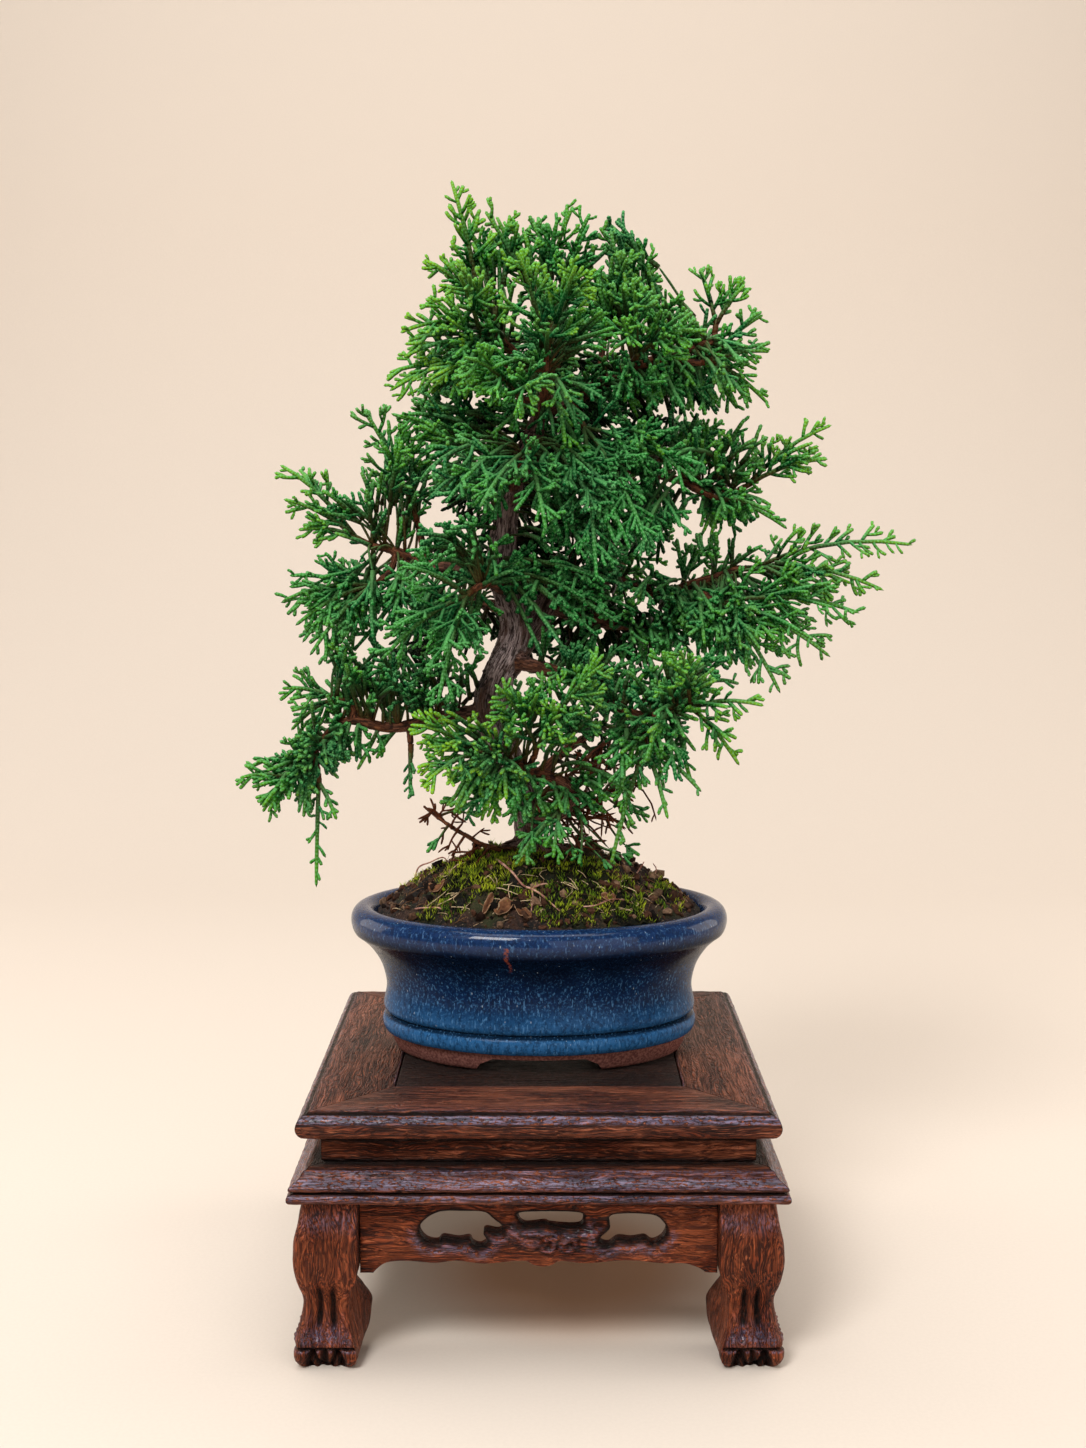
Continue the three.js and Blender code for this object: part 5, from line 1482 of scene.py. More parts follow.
def shift_grain(piece, turn):
    """Moves the grain along, so that no two sides of the stand look alike."""
    attribute = piece.data.attributes["grain"]
    values = np.empty(len(attribute.data) * 3, np.float32)
    attribute.data.foreach_get("vector", values)
    shift = np.tile([turn * 191.0, turn * 43.0, 0], len(attribute.data))
    attribute.data.foreach_set("vector", values + shift)


def wobble(points, amount, reach, seed):
    """Small dents and swells of hand-cut wood, as offsets for points in millimetres."""
    noise.seed_set(DENT_SEED)
    places = points / reach + np.array([seed, 0, 0])
    return np.array([noise.noise_vector(Vector(place)) for place in places]) * amount


def mitred_bar(name, profile, material, steps, uneven):
    """Extrudes the profile along the front of the stand, cuts both mitres and wears its surface."""
    out, height, wear_and_sheen, recess_shade = np.array(profile).T
    reach = out.max() + 1

    def draw_out():
        for _ in range(steps):
            bpy.ops.mesh.extrude_region_move(TRANSFORM_OT_translate={"value": (2 * reach / steps * MM, 0, 0)})

    def cut_mitre(side):
        bpy.ops.mesh.bisect(plane_co=(-side * MITRE_GAP * MM, 0, 0), plane_no=(side, 1, 0), use_fill=True,
                            clear_outer=True)

    bar = start_profile(name, len(profile))
    for vertex, (y, z) in zip(bar.data.vertices, zip(out, height)):
        vertex.co = Vector((-reach, -y, z)) * MM
    edit(draw_out, lambda: cut_mitre(-1), lambda: cut_mitre(1), turn_faces_out)
    points = mesh_points(bar)
    nearest = np.argmin((points[:, None, 1] + out) ** 2 + (points[:, None, 2] - height) ** 2, axis=1)
    set_attribute(bar, "grain", points)
    # Each point's finish comes from the nearest corner of the profile: painted sheen with worn flecks, and
    # painted shade.
    set_attribute(bar, "finish", np.column_stack([wear_and_sheen[nearest], recess_shade[nearest], np.zeros(len(points))]))
    hidden = (points[:, 1] > 12 - out.max()) | (np.abs(points[:, 0]) > -points[:, 1] - 0.6)
    moves = wobble(points, uneven, 2.6, reach) * np.where(hidden, 0.0, 1.0)[:, None] * np.array([0, 1, 1])
    points = np.clip(points + moves, (-np.inf, -out.max(), height.min()), (np.inf, np.inf, height.max()))
    move_points(bar, points * MM)
    return polish_up(bar, 50, material)


def make_panel():
    """The panel that lies on the rails' hidden lips, with a fine bevel."""
    panel = start_piece("panel", bpy.ops.mesh.primitive_cube_add, size=1)
    size = Matrix.Diagonal((PANEL_WIDTH * MM, PANEL_WIDTH * MM, PANEL_THICKNESS * MM, 1))
    panel.data.transform(Matrix.Translation((0, 0, PANEL_MIDDLE * MM)) @ size)
    edit(lambda: bpy.ops.mesh.bevel(offset=0.35 * MM, segments=2))
    points = mesh_points(panel)
    edge = np.maximum(np.abs(points[:, 0]), np.abs(points[:, 1])) > PANEL_WIDTH / 2 - 0.3
    set_attribute(panel, "grain", points)
    # The panel's bevelled edge gets painted sheen, and the whole panel painted shade.
    set_attribute(panel, "finish", np.column_stack([edge * 0.5, 0.8 + edge * 0, edge * 0]))
    panel.data.transform(Matrix.Translation(STAND_MIDDLE))
    return polish_up(panel, 40, rail_material())


def rounded(outline, closed, step=0.5):
    """A smooth line through the outline's corners."""
    points = np.array(outline, float)
    count = len(points)
    made = []
    for i in range(count if closed else count - 1):
        a, b, c, d = (points[k % count if closed else min(max(k, 0), count - 1)] for k in range(i - 1, i + 3))
        steps = max(1, round(float(np.linalg.norm(c - b)) / step))
        made += [smooth_step(a, b, c, d, k / steps) for k in range(steps)]
    return np.array(made if closed else made + [points[-1]])


def apron_outline():
    lower = rounded(APRON_EDGE[2:-2], False, 0.6)
    ends = np.array(APRON_EDGE)
    return np.concatenate([ends[:2], lower, ends[-2:]])


def distance_to(points, line, closed):
    """How far each point lies from a line drawn on the board, and the nearest place on it."""
    starts = line if closed else line[:-1]
    ends = np.roll(line, -1, axis=0) if closed else line[1:]
    way = ends - starts
    share = np.einsum("pij,ij->pi", points[:, None] - starts[None], way)
    share = share / np.maximum((way ** 2).sum(axis=1), 1e-9)
    near = starts[None] + np.clip(share, 0, 1)[..., None] * way[None]
    gaps = np.linalg.norm(points[:, None] - near, axis=2)
    best = gaps.argmin(axis=1)
    return gaps[np.arange(len(points)), best], near[np.arange(len(points)), best]


def hump(value, middle, width):
    """A smooth swell, 1 at its middle."""
    return np.exp(-((value - middle) / width) ** 2)


def make_apron():
    """A scalloped board with three hand-cut openings, raised rims below them and carved curls."""
    curve = bpy.data.curves.new("apron", "CURVE")
    curve.dimensions, curve.fill_mode = "2D", "BOTH"
    curve.extrude = (APRON_THICKNESS / 2 - 0.35) * MM
    curve.bevel_depth, curve.bevel_resolution, curve.offset = 0.35 * MM, 2, -0.35 * MM
    openings = [rounded(opening, True) for opening in APRON_OPENINGS]
    for line in [apron_outline(), *openings]:
        spline = curve.splines.new("POLY")
        spline.points.add(len(line) - 1)
        for point, (x, z) in zip(spline.points, line):
            point.co = (x * MM, z * MM, 0, 1)
        spline.use_cyclic_u = True
    board = bpy.data.objects.new("apron", curve)
    bpy.context.scene.collection.objects.link(board)
    pick(board)
    bpy.ops.object.convert(target="MESH")
    board = bpy.context.object
    board.data.transform(Matrix.Translation((0, -(APRON_FRONT - APRON_THICKNESS / 2) * MM, 0))
                         @ Matrix.Rotation(math.pi / 2, 4, "X"))
    edit(weld, turn_faces_out)
    cuts = [((x * MM, 0, 0), (1, 0, 0)) for x in np.arange(-48, 48.1, 1.0)]
    cuts += [((0, 0, z * MM), (0, 0, 1)) for z in np.arange(26, 46.4, 0.9)]
    for place, way in cuts:
        for face in board.data.polygons:
            face.select = face.normal.y < -0.99
        bpy.ops.object.mode_set(mode="EDIT")
        bpy.ops.mesh.bisect(plane_co=place, plane_no=way)
        bpy.ops.object.mode_set(mode="OBJECT")
    points = mesh_points(board)
    flat = points[:, [0, 2]]
    front = np.clip((-points[:, 1] - APRON_FRONT + 1.2) / 0.8, 0, 1)
    raised, wear_and_sheen, dark = np.zeros(len(points)), np.zeros(len(points)), np.zeros(len(points))
    for opening in openings:
        gap, near = distance_to(flat, opening, True)
        middle = (opening[:, 1].min() + opening[:, 1].max()) / 2
        below = np.clip((middle + 0.5 - near[:, 1]) / 2, 0, 1)
        # Below each opening a raised rim gets painted sheen; the opening's edge gets painted shade.
        crest = hump(gap, 2.1, 1.15) * below
        raised += 0.75 * crest - 0.35 * hump(gap, 0, 1.1)
        wear_and_sheen = np.maximum(wear_and_sheen, crest)
        dark = np.maximum(dark, hump(gap, 0, 0.7 + 0.5 * below))
    for line, width, height in APRON_CURLS:
        gap, _ = distance_to(flat, rounded(line, False), False)
        # Each curl's crest gets painted sheen, and the groove beside it painted shade.
        crest = hump(gap, 0, width)
        groove = hump(gap, 1.6 * width, 0.6 * width)
        raised += height * crest - 0.3 * groove
        wear_and_sheen = np.maximum(wear_and_sheen, 0.55 * crest)
        dark = np.maximum(dark, 0.7 * groove)
    set_attribute(board, "grain", points)
    set_attribute(board, "finish", np.column_stack([wear_and_sheen * front * 0.8, dark * front, front * 0]))
    points[:, 1] -= raised * front
    move_points(board, points * MM)
    return polish_up(board, 35, carved_material())


def leg_relief(across, height):
    """Tendons, grooves, the line above the claws and the gaps between them, on one face of a leg."""
    shin = np.clip((height - 6.6) / 2, 0, 1) * np.clip((24.5 - height) / 5, 0, 1)
    lower = np.clip((17 - height) / 9, 0, 1)
    # The dark mask is painted shade in the grooves, in the line above the claws and in the slits between
    # them.
    raised, dark, hollow = np.zeros_like(across), np.zeros_like(across), np.zeros_like(across)
    for middle, lean in ((0.62, 0.02), (0.35, -0.03)):
        groove = hump(across, middle + lean * lower, 0.05 + 0.035 * lower) * shin
        raised -= 1.6 * groove
        dark = np.maximum(dark, groove * np.clip((height - 10) / 4, 0.25, 1))
        hollow = np.maximum(hollow, groove * hump(height, 10.4, 2.6))
    tendons = sum(hump(across, middle, 0.09) for middle in (0.84, 0.49, 0.16)) * shin
    raised += 0.55 * tendons * (0.4 + 0.6 * lower)
    pads = sum(hump(across, middle, 0.1) for middle in (0.84, 0.61, 0.38, 0.14)) * hump(height, 8.4, 1.6)
    raised += 0.45 * pads
    for middle in (0.84, 0.5, 0.16):
        arch = height / 1.25 + ((across - middle) / 0.09) ** 2 * 0.7
        raised += 0.22 * np.sin(2 * math.pi * arch) * hump(across, middle, 0.12) * hump(height, 9.6, 2.6)
    line = hump(height, 5.9, 0.36) * np.clip((across + 0.02) / 0.06, 0, 1)
    line = line * np.clip((1.02 - across) / 0.06, 0, 1)
    raised -= 0.9 * line
    dark = np.maximum(dark, line)
    claw = np.clip((5.7 - height) / 0.5, 0, 1)
    down = np.clip(1 - height / 5.8, 0, 1)
    for top, foot, width in ((0.70, 0.80, 0.05), (0.70, 0.60, 0.02), (0.50, 0.53, 0.05), (0.32, 0.20, 0.05),
                             (0.32, 0.41, 0.02)):
        slit = hump(across, top + (foot - top) * down, 0.032 + width * down) * claw
        raised -= 2.8 * slit
        dark = np.maximum(dark, slit)
    nails = sum(hump(across, middle, 0.1) for middle in (0.88, 0.63, 0.42, 0.12)) * claw
    raised += 0.3 * nails
    # A painted highlight line under the dark line; the sheen mask also paints sheen in the lower grooves, on
    # the tendons and on the pads.
    edge = 0.7 * hump(height, 5.2, 0.3) * (1 - dark)
    painted_sheen = hollow + 0.35 * tendons * lower + pads * 0.5 + edge
    return raised, np.clip(dark * 1.4, 0, 1), np.clip(painted_sheen, 0, 1)


def make_leg():
    """A cabriole leg with a paw foot, lofted from its levels and carved on its two outer faces."""
    runs = [np.arange(0, 13, 0.25), np.arange(13, 26, 0.5), np.arange(26, LEG_TOP, 1.2), [LEG_TOP]]
    heights = np.concatenate(runs)
    smooth = smooth_stations([(*sizes, height) for height, *sizes in LEG_LEVELS], 0.3)
    sizes = np.stack([np.interp(heights, smooth[:, 3], smooth[:, k]) for k in range(3)], axis=1)
    rings, cut = [], LEG_CORNER_CUT
    for outer, inner, corner in sizes:
        outline = [(outer - 2.2 * cut, outer), (outer - cut, outer), (outer - cut * 0.3, outer - cut * 0.3),
                   (outer, outer - cut), (outer, outer - 2.2 * cut), (outer, (outer + inner) / 2),
                   (outer, inner + cut * 0.6), (outer - cut * 0.5, inner),
                   ((outer + corner) / 2, (inner + corner) / 2),
                   (corner + cut, corner), (corner + cut * 0.3, corner + cut * 0.3), (corner, corner + cut),
                   ((inner + corner) / 2, (outer + corner) / 2), (inner, outer - cut * 0.5),
                   (inner + cut * 0.6, outer), ((outer + inner) / 2, outer)]
        line = rounded(outline, True, 0.05)
        line = np.vstack([line, line[:1]])
        lengths = line_lengths(line)
        places = np.linspace(0, lengths[-1], LEG_SIDES, endpoint=False)
        rings.append(np.stack([np.interp(places, lengths, line[:, k]) for k in range(2)], axis=1))
    rings = np.array(rings)
    ways = np.roll(rings, -1, axis=1) - np.roll(rings, 1, axis=1)
    outward = np.stack([-ways[..., 1], ways[..., 0]], axis=2)
    outward /= np.linalg.norm(outward, axis=2, keepdims=True)
    if (outward * (rings - rings.mean(axis=1, keepdims=True))).sum() < 0:
        outward = -outward
    high = np.repeat(heights[:, None], LEG_SIDES, axis=1)
    span = (sizes[:, 0] - sizes[:, 1])[:, None]
    raised, wear_and_sheen, dark = np.zeros(high.shape), np.zeros(high.shape), np.zeros(high.shape)
    for axis in (0, 1):
        across = (rings[..., axis] - sizes[:, 1][:, None]) / span
        face = np.clip(outward[..., 1 - axis], 0, 1) ** 3
        lift, shade, painted_sheen = leg_relief(across, high)
        raised += lift * face
        dark = np.maximum(dark, shade * face)
        wear_and_sheen = np.maximum(wear_and_sheen, painted_sheen * face)
    # A painted sheen band round the leg's shoulder.
    shoulder = hump(high, 41, 2.2) * np.clip(outward.max(axis=2), 0, 1) ** 4 * 0.45
    wear_and_sheen = np.maximum(wear_and_sheen, shoulder)
    waves = np.array([[noise.noise(Vector((p[0] / 3, p[1] / 3, h / 6))) for p, h in zip(ring, row)]
                      for ring, row in zip(rings, high)])
    raised += 0.25 * waves * np.clip((46 - high) / 2, 0, 1)
    rings = rings + outward * raised[..., None] * np.clip((high + 0.3) / 0.8, 0, 1)[..., None]
    grain = np.stack([high, rings[..., 0], rings[..., 1]], axis=2).reshape(-1, 3)
    points = np.concatenate([-rings, high[..., None]], axis=2).reshape(-1, 3)
    k = np.arange(LEG_SIDES)
    ends = np.array([k[::-1], (len(heights) - 1) * LEG_SIDES + k])
    leg = new_mesh("leg", points * MM, [wall_faces(len(heights), LEG_SIDES), ends], None)
    set_attribute(leg, "grain", grain)
    set_attribute(leg, "finish", np.column_stack([wear_and_sheen.ravel(), dark.ravel(), np.ones(len(points))]))
    pick(leg)
    edit(turn_faces_out)
    return polish_up(leg, 50, carved_material())


@once
def wood_figure():
    """The figure of the stand's wood, from a place in millimetres with the grain along X."""
    marks = dict.fromkeys(("Lines", "Flecks", "Pores", "Clouds", "Ridges"), "Float")
    tree, nodes, entry, found = new_group("Wood figure", {"Place": "Vector", "Waviness": "Float"}, marks)
    place = entry.outputs["Place"]
    drift = nodes.add("ShaderNodeTexNoise", {"Vector": nodes.stretch(place, (0.05, 0.16, 0.16)), "Scale": 1.0,
                                             "Detail": 2.0}).outputs["Color"]
    shift = nodes.add("ShaderNodeVectorMath", {0: drift, 1: (0.5, 0.5, 0.5)}, operation="SUBTRACT").outputs[0]
    reach = nodes.times(entry.outputs["Waviness"], 4.0)
    scaled = nodes.add("ShaderNodeVectorMath", {0: shift, "Scale": reach}, operation="SCALE").outputs[0]
    moved = nodes.add("ShaderNodeVectorMath", {0: place, 1: scaled}, operation="ADD").outputs[0]
    lines = nodes.grain(nodes.stretch(moved, (0.06, 2.1, 2.1)), 1.0, 4, 0.62)
    nodes.feed(found.inputs["Lines"], nodes.span(lines, 0.4, 0.6))
    flecks = nodes.grain(nodes.stretch(moved, (0.12, 2.7, 2.7)), 1.0, 2)
    nodes.feed(found.inputs["Flecks"], nodes.span(flecks, 0.6, 0.72))
    pores = nodes.cells(nodes.stretch(moved, (0.2, 1.6, 1.6)), 1.0)
    nodes.feed(found.inputs["Pores"], nodes.span(pores, 0.2, 0.08))
    clouds = nodes.grain(nodes.stretch(place, (0.03, 0.12, 0.12)), 1.0, 3)
    nodes.feed(found.inputs["Clouds"], nodes.span(clouds, 0.35, 0.65))
    _, across, deep = nodes.parts(moved)
    bend = nodes.grain(nodes.stretch(place, (0.06, 0.2, 0.2)), 1.0, 2)
    turns = nodes.plus(nodes.plus(across, deep), nodes.times(bend, 9.0))
    wave = nodes.math("SINE", nodes.times(turns, 7.8))
    nodes.feed(found.inputs["Ridges"], nodes.span(wave, -0.9, 0.5))
    return tree


def stand_wood(name, part, waviness):
    """Old stained wood: grain, pores, worn flecks, a painted bluish sheen on its crests and painted shade in
    its grooves.
    """
    dark, middle, light = (chosen("stand", choice) for choice in ("dark", part, part + "_light"))
    nodes = Surface(name)
    place = nodes.read("grain")
    wear_and_sheen, recess_shade, _ = nodes.parts(nodes.read("finish"))
    figure = nodes.add("ShaderNodeGroup", node_tree=wood_figure())
    nodes.feed(figure.inputs["Place"], place)
    nodes.feed(figure.inputs["Waviness"], waviness)
    lines, flecks, pores, clouds, ridges = figure.outputs
    nick = nodes.grain(nodes.stretch(place, (0.9, 1.5, 1.5)), 1.0, 4, 0.6)
    colour = nodes.blend(lines, dark, middle)
    colour = nodes.blend(nodes.span(ridges, 0, 1, 0.75, 0), colour, dark)
    colour = nodes.blend(nodes.times(clouds, 0.35), colour, nodes.blend(lines, middle, light))
    colour = nodes.blend(nodes.times(flecks, 0.65), colour, light)
    colour = nodes.blend(nodes.times(pores, 0.85), colour, tone(20, 10, 9))
    # Painted sheen: a bluish reflection on the crests, broken by the nicks.
    painted_sheen = nodes.times(wear_and_sheen, nodes.span(nick, 0.6, 0.44))
    sheen = nodes.blend(lines, tone(60, 54, 80), tone(142, 138, 172))
    colour = nodes.blend(nodes.times(painted_sheen, 0.72), colour, sheen)
    worn = nodes.times(nodes.span(wear_and_sheen, 0.3, 0.8), nodes.span(nick, 0.6, 0.68))
    colour = nodes.blend(nodes.times(worn, 0.8), colour, tone(190, 112, 84))
    # Painted shade in the grooves, slits, openings' edges, undersides and over the panel, broken by the
    # nicks.
    painted_shade = nodes.times(nodes.span(recess_shade, 0.05, 0.75), nodes.span(nick, 0.75, 0.35, 0.7, 1.0))
    colour = nodes.blend(painted_shade, colour, tone(13, 7, 7))
    roughness = nodes.math("SUBTRACT", nodes.span(lines, 0, 1, 0.5, 0.38), nodes.times(painted_sheen, 0.14))
    height = nodes.math("SUBTRACT", lines, nodes.times(pores, 1.4))
    height = nodes.plus(height, nodes.times(nick, 0.8))
    height = nodes.plus(height, nodes.times(ridges, 1.2))
    return nodes.finish(colour, roughness, 0.2, (0.75, 0.4 * MM, height), coat_weight=nodes.times(painted_sheen, 0.5),
                        coat_roughness=0.25)


@once
def rail_material():
    return stand_wood("Rail wood", "rail", 1.0)


@once
def carved_material():
    return stand_wood("Carved wood", "carved", 1.6)


# ---- Soil, moss and litter ----

SOIL_HALF_LENGTH = 48.6
SOIL_HALF_DEPTH = 34.4
SOIL_EDGE = 112.6
MOUND_HEIGHT = 18.4
# Half length, half depth and height down the pot's inner wall
ROOT_BALL = [(47.9, 33.8, 109), (43.8, 30.1, 100.5), (41, 27.7, 91.5), (41, 27.7, 84.5), (37.4, 24.4, 79.9)]


def full_turn(count):
    return [i / count * 2 * math.pi for i in range(count)]


def ground_height(x, y):
    """The soil's mound, as the solid has it."""
    reach = min(1, math.hypot(x / SOIL_HALF_LENGTH, y / SOIL_HALF_DEPTH))
    lumps = 0.9 * math.sin(0.42 * x + 1) * math.cos(0.51 * y) + 0.6 * math.sin(0.83 * x - 0.6 * y + 2)
    return SOIL_EDGE + MOUND_HEIGHT * (1 - reach ** 2.2) + lumps * (1 - reach ** 4)


def crumb_height(x, y):
    """The soil's surface with its clods and hollows, lower against the pot's wall."""
    reach = min(1, math.hypot(x / SOIL_HALF_LENGTH, y / SOIL_HALF_DEPTH))
    clod = noise.fractal(Vector((x * 0.24, y * 0.24, 0)), 0.8, 2.1, 4)
    cell = noise.voronoi(Vector((x * 0.42, y * 0.42, 2)))[0]
    pit = noise.voronoi(Vector((x * 0.9, y * 0.9, 7)))[0][0]
    lumps = 1.9 * clod + 1.6 * (0.5 - cell[0]) + 0.9 * (0.4 - pit)
    return ground_height(x, y) + lumps * (1 - 0.75 * reach ** 6)


def make_soil():
    """The mound's crumbled top in rings from the middle, and the root ball down to the pot's floor."""
    rings, segments = 66, 190
    points = []
    for ring in range(1, rings + 1):
        for angle in full_turn(segments):
            x = (SOIL_HALF_LENGTH - 0.15) * (ring / rings) * math.cos(angle)
            y = (SOIL_HALF_DEPTH - 0.15) * (ring / rings) * math.sin(angle)
            points.append((x, y, crumb_height(x, y)))
    for length, depth, height in ROOT_BALL:
        points += [(length * math.cos(angle), depth * math.sin(angle), height)
                   for angle in full_turn(segments)]
    points.append((0, 0, crumb_height(0, 0)))
    count = rings + len(ROOT_BALL)
    k = np.arange(segments)
    wall = wall_faces(count, segments)[:, [0, 3, 2, 1]]
    fan = np.stack([np.full(segments, len(points) - 1), k, (k + 1) % segments], axis=1)
    floor = (count - 1) * segments + k[::-1]
    return new_mesh("potting_soil", placed(points), [wall, fan, floor[None]], soil_material())


@once
def soil_material():
    nodes = Surface("Potting soil")
    where = nodes.place()
    clod = nodes.grain(where, 260, 5, 0.65)
    fine = nodes.grain(where, 1400, 3)
    pale = nodes.cells(where, 700)
    patch = nodes.grain(where, 70, 2)
    # The dark colour fills the low spots of the clod relief: painted shade in the hollows.
    colour = nodes.blend(nodes.span(clod, 0.42, 0.6), chosen("soil", "dark"), chosen("soil", "crust"))
    colour = nodes.blend(nodes.span(fine, 0.56, 0.7, 0, 0.5), colour, tone(112, 78, 56))
    colour = nodes.blend(nodes.span(pale, 0.18, 0.1, 0, 0.5), colour, tone(150, 126, 100))
    colour = nodes.blend(nodes.span(patch, 0.5, 0.66, 0, 0.6), colour, tone(52, 60, 22))
    relief = (0.9, 0.8 * MM, nodes.plus(clod, fine))
    return nodes.finish(colour, nodes.span(fine, 0.3, 0.7, 0.98, 0.82), relief=relief)


# Each patch of moss: its middle, its reach each way and how thick it lies
MOSS_PATCHES = {
    "moss_cushion": [((6, -17), (24, 11), 1.7), ((-17, -13), (13, 10), 1.5), ((-19, -3), (8, 8), 1.2)],
    "moss_edge": [((25, -25.5), (13, 4.5), 1.1), ((-27, -23), (9, 4.5), 1.0), ((8, -29.5), (9, 3.2), 1.0),
                  ((37, -8), (6, 8), 0.7), ((-2, 16), (24, 9), 1.2), ((-34, 6), (7, 9), 0.8),
                  ((24, 18), (12, 8), 1.0)],
}


def moss_height(x, y, patches):
    """The moss's top, in lumps over the soil; below the soil where none grows."""
    best = -1.0
    for (cx, cy), (rx, ry), thickness in patches:
        reach = math.hypot((x - cx) / rx, (y - cy) / ry)
        lump = noise.fractal(Vector((x * 0.3, y * 0.3, 9)), 0.9, 2.0, 3)
        best = max(best, thickness * (1.15 - reach ** 2) + 1.1 * lump - 0.1)
    return crumb_height(x, y) * 0.4 + ground_height(x, y) * 0.6 + min(best, 1.9)


def scattered(dice):
    """A place anywhere on the soil."""
    angle, far = dice.uniform(0, 2 * math.pi), math.sqrt(dice.random())
    return SOIL_HALF_LENGTH * far * math.cos(angle), SOIL_HALF_DEPTH * far * math.sin(angle)


def in_soil(x, y):
    return math.hypot(x / (SOIL_HALF_LENGTH - 1), y / (SOIL_HALF_DEPTH - 1)) < 0.985


def make_moss(name, patches, dice, crowd):
    """A lumpy cushion under a crowd of tiny three-sided shoots."""
    points, quads, fans, shades = [], [], [], []
    rings, segments = 14, 44
    for (cx, cy), (rx, ry), _ in patches:
        first = len(points)
        for ring in range(1, rings + 1):
            for angle in full_turn(segments):
                x = cx + rx * ring / rings * math.cos(angle)
                y = cy + ry * ring / rings * math.sin(angle)
                scale = min(1.0, 0.97 / max(1e-6, math.hypot(x / SOIL_HALF_LENGTH, y / SOIL_HALF_DEPTH)))
                x, y = x * scale, y * scale
                top = moss_height(x, y, patches) - 0.5
                points.append((x, y, top if ring < rings else min(top, ground_height(x, y) - 1.5)))
                # Cushion points get a low rise, which paints them as shade under the shoots.
                shades.append((0.12, dice.random(), 0))
        quads.append(first + wall_faces(rings, segments)[:, [0, 3, 2, 1]])
        points += [(cx, cy, moss_height(cx, cy, patches) - 0.5), (cx, cy, ground_height(cx, cy) - 3)]
        shades += [(0.12, 0.5, 0)] * 2
        low, crown = first + (rings - 1) * segments, len(points) - 2
        for i in range(segments):
            after = (i + 1) % segments
            fans += [(crown, first + i, first + after), (crown + 1, low + after, low + i)]
    for (cx, cy), (rx, ry), _ in patches:
        for _ in range(int(math.pi * rx * ry * crowd)):
            angle, far = dice.uniform(0, 2 * math.pi), math.sqrt(dice.random()) * 1.08
            x, y = cx + rx * far * math.cos(angle), cy + ry * far * math.sin(angle)
            top = moss_height(x, y, patches)
            if not in_soil(x, y) or top < crumb_height(x, y) - 0.3:
                continue
            bare, coarse, fine = (noise.noise(Vector((x * scale, y * scale, layer)))
                                  for scale, layer in ((0.19, 3), (0.5, 4), (1.2, 8)))
            tuft = 1.6 * coarse + 0.7 * fine
            if tuft < -0.55 or bare < -0.3:
                continue
            foot = len(points)
            tall, wide = dice.uniform(0.8, 1.7) * (1 + 0.8 * tuft), dice.uniform(0.22, 0.42)
            lean = (dice.uniform(-0.8, 0.8) * tall, dice.uniform(-0.8, 0.8) * tall)
            turn, bright = dice.uniform(0, 2), dice.random()
            for k in range(3):
                a = turn + k * 2 * math.pi / 3
                points.append((x + wide * math.cos(a), y + wide * math.sin(a), top - 0.75))
                shades.append((0.1, bright, 0))
            points.append((x + lean[0], y + lean[1], top - 0.5 + tall))
            # A shoot's tip rise follows the tuft noise, so lower shoots are painted darker, as shade.
            shades.append((min(1, max(0.2, 0.72 + 0.9 * tuft)), bright, 0))
            fans += [(foot + a, foot + b, foot + c)
                     for a, b, c in ((0, 1, 3), (1, 2, 3), (2, 0, 3), (2, 1, 0))]
    piece = new_mesh(name, placed(points), [np.concatenate(quads), fans], moss_material())
    set_attribute(piece, "shade", shades)
    return piece


@once
def moss_material():
    nodes = Surface("Moss")
    rise, bright, _ = nodes.parts(nodes.read("shade"))
    where = nodes.place()
    patch = nodes.grain(where, 130, 3)
    fine = nodes.grain(where, 1600, 2)
    tip = nodes.blend(nodes.span(patch, 0.36, 0.62), chosen("moss", "dull"), chosen("moss", "bright"))
    tip = nodes.blend(nodes.span(bright, 0.55, 1.0, 0, 0.6), tip, tone(52, 64, 14))
    # low: painted shade, near black, on the cushion and at the foot of each shoot.
    low = nodes.blend(nodes.span(patch, 0.4, 0.6), tone(4, 6, 2), tone(18, 24, 5))
    colour = nodes.blend(nodes.span(rise, 0.25, 0.95), low, tip)
    colour = nodes.blend(nodes.span(fine, 0.5, 0.7, 0, 0.4), colour, tone(70, 50, 24))
    return nodes.finish(colour, nodes.span(fine, 0.3, 0.7, 0.85, 0.65), 0.2)


PALE_ROOTLETS = 64


def make_crumbs(dice, count):
    """Loose crumbs of soil and grit, one small stone copied with its own size, turn and dents."""
    stone = start_piece("stone", bpy.ops.mesh.primitive_ico_sphere_add, subdivisions=1, radius=1)
    corners = np.array([vertex.co for vertex in stone.data.vertices])
    sides = np.array([list(face.vertices) for face in stone.data.polygons])
    bpy.data.objects.remove(stone)
    points, faces, shades = [], [], []
    while len(faces) < count:
        x, y = scattered(dice)
        if not in_soil(x, y) or math.hypot(x, y) < 8:
            continue
        size = dice.uniform(0.35, 0.8) if dice.random() < 0.7 else dice.uniform(0.8, 2.0)
        shape = np.array([dice.uniform(0.6, 1.3), dice.uniform(0.6, 1.3), dice.uniform(0.5, 1.0)]) * size
        turn = np.array(Matrix.Rotation(dice.uniform(0, 6), 3, Vector((dice.random(), dice.random(), 1))))
        dents = np.array([dice.uniform(0.7, 1.2) for _ in corners])[:, None]
        lump = (corners * dents * shape) @ turn.T + np.array((x, y, crumb_height(x, y) + 0.2 * size))
        faces.append(sides + len(points) * len(corners))
        points.append(lump)
        shades.append(np.full((len(corners), 3), (dice.random(), dice.random(), 0)))
    piece = new_mesh("soil_crumbs", placed(np.concatenate(points)), [np.concatenate(faces)], crumb_material(),
                     False)
    set_attribute(piece, "shade", np.concatenate(shades))
    return piece


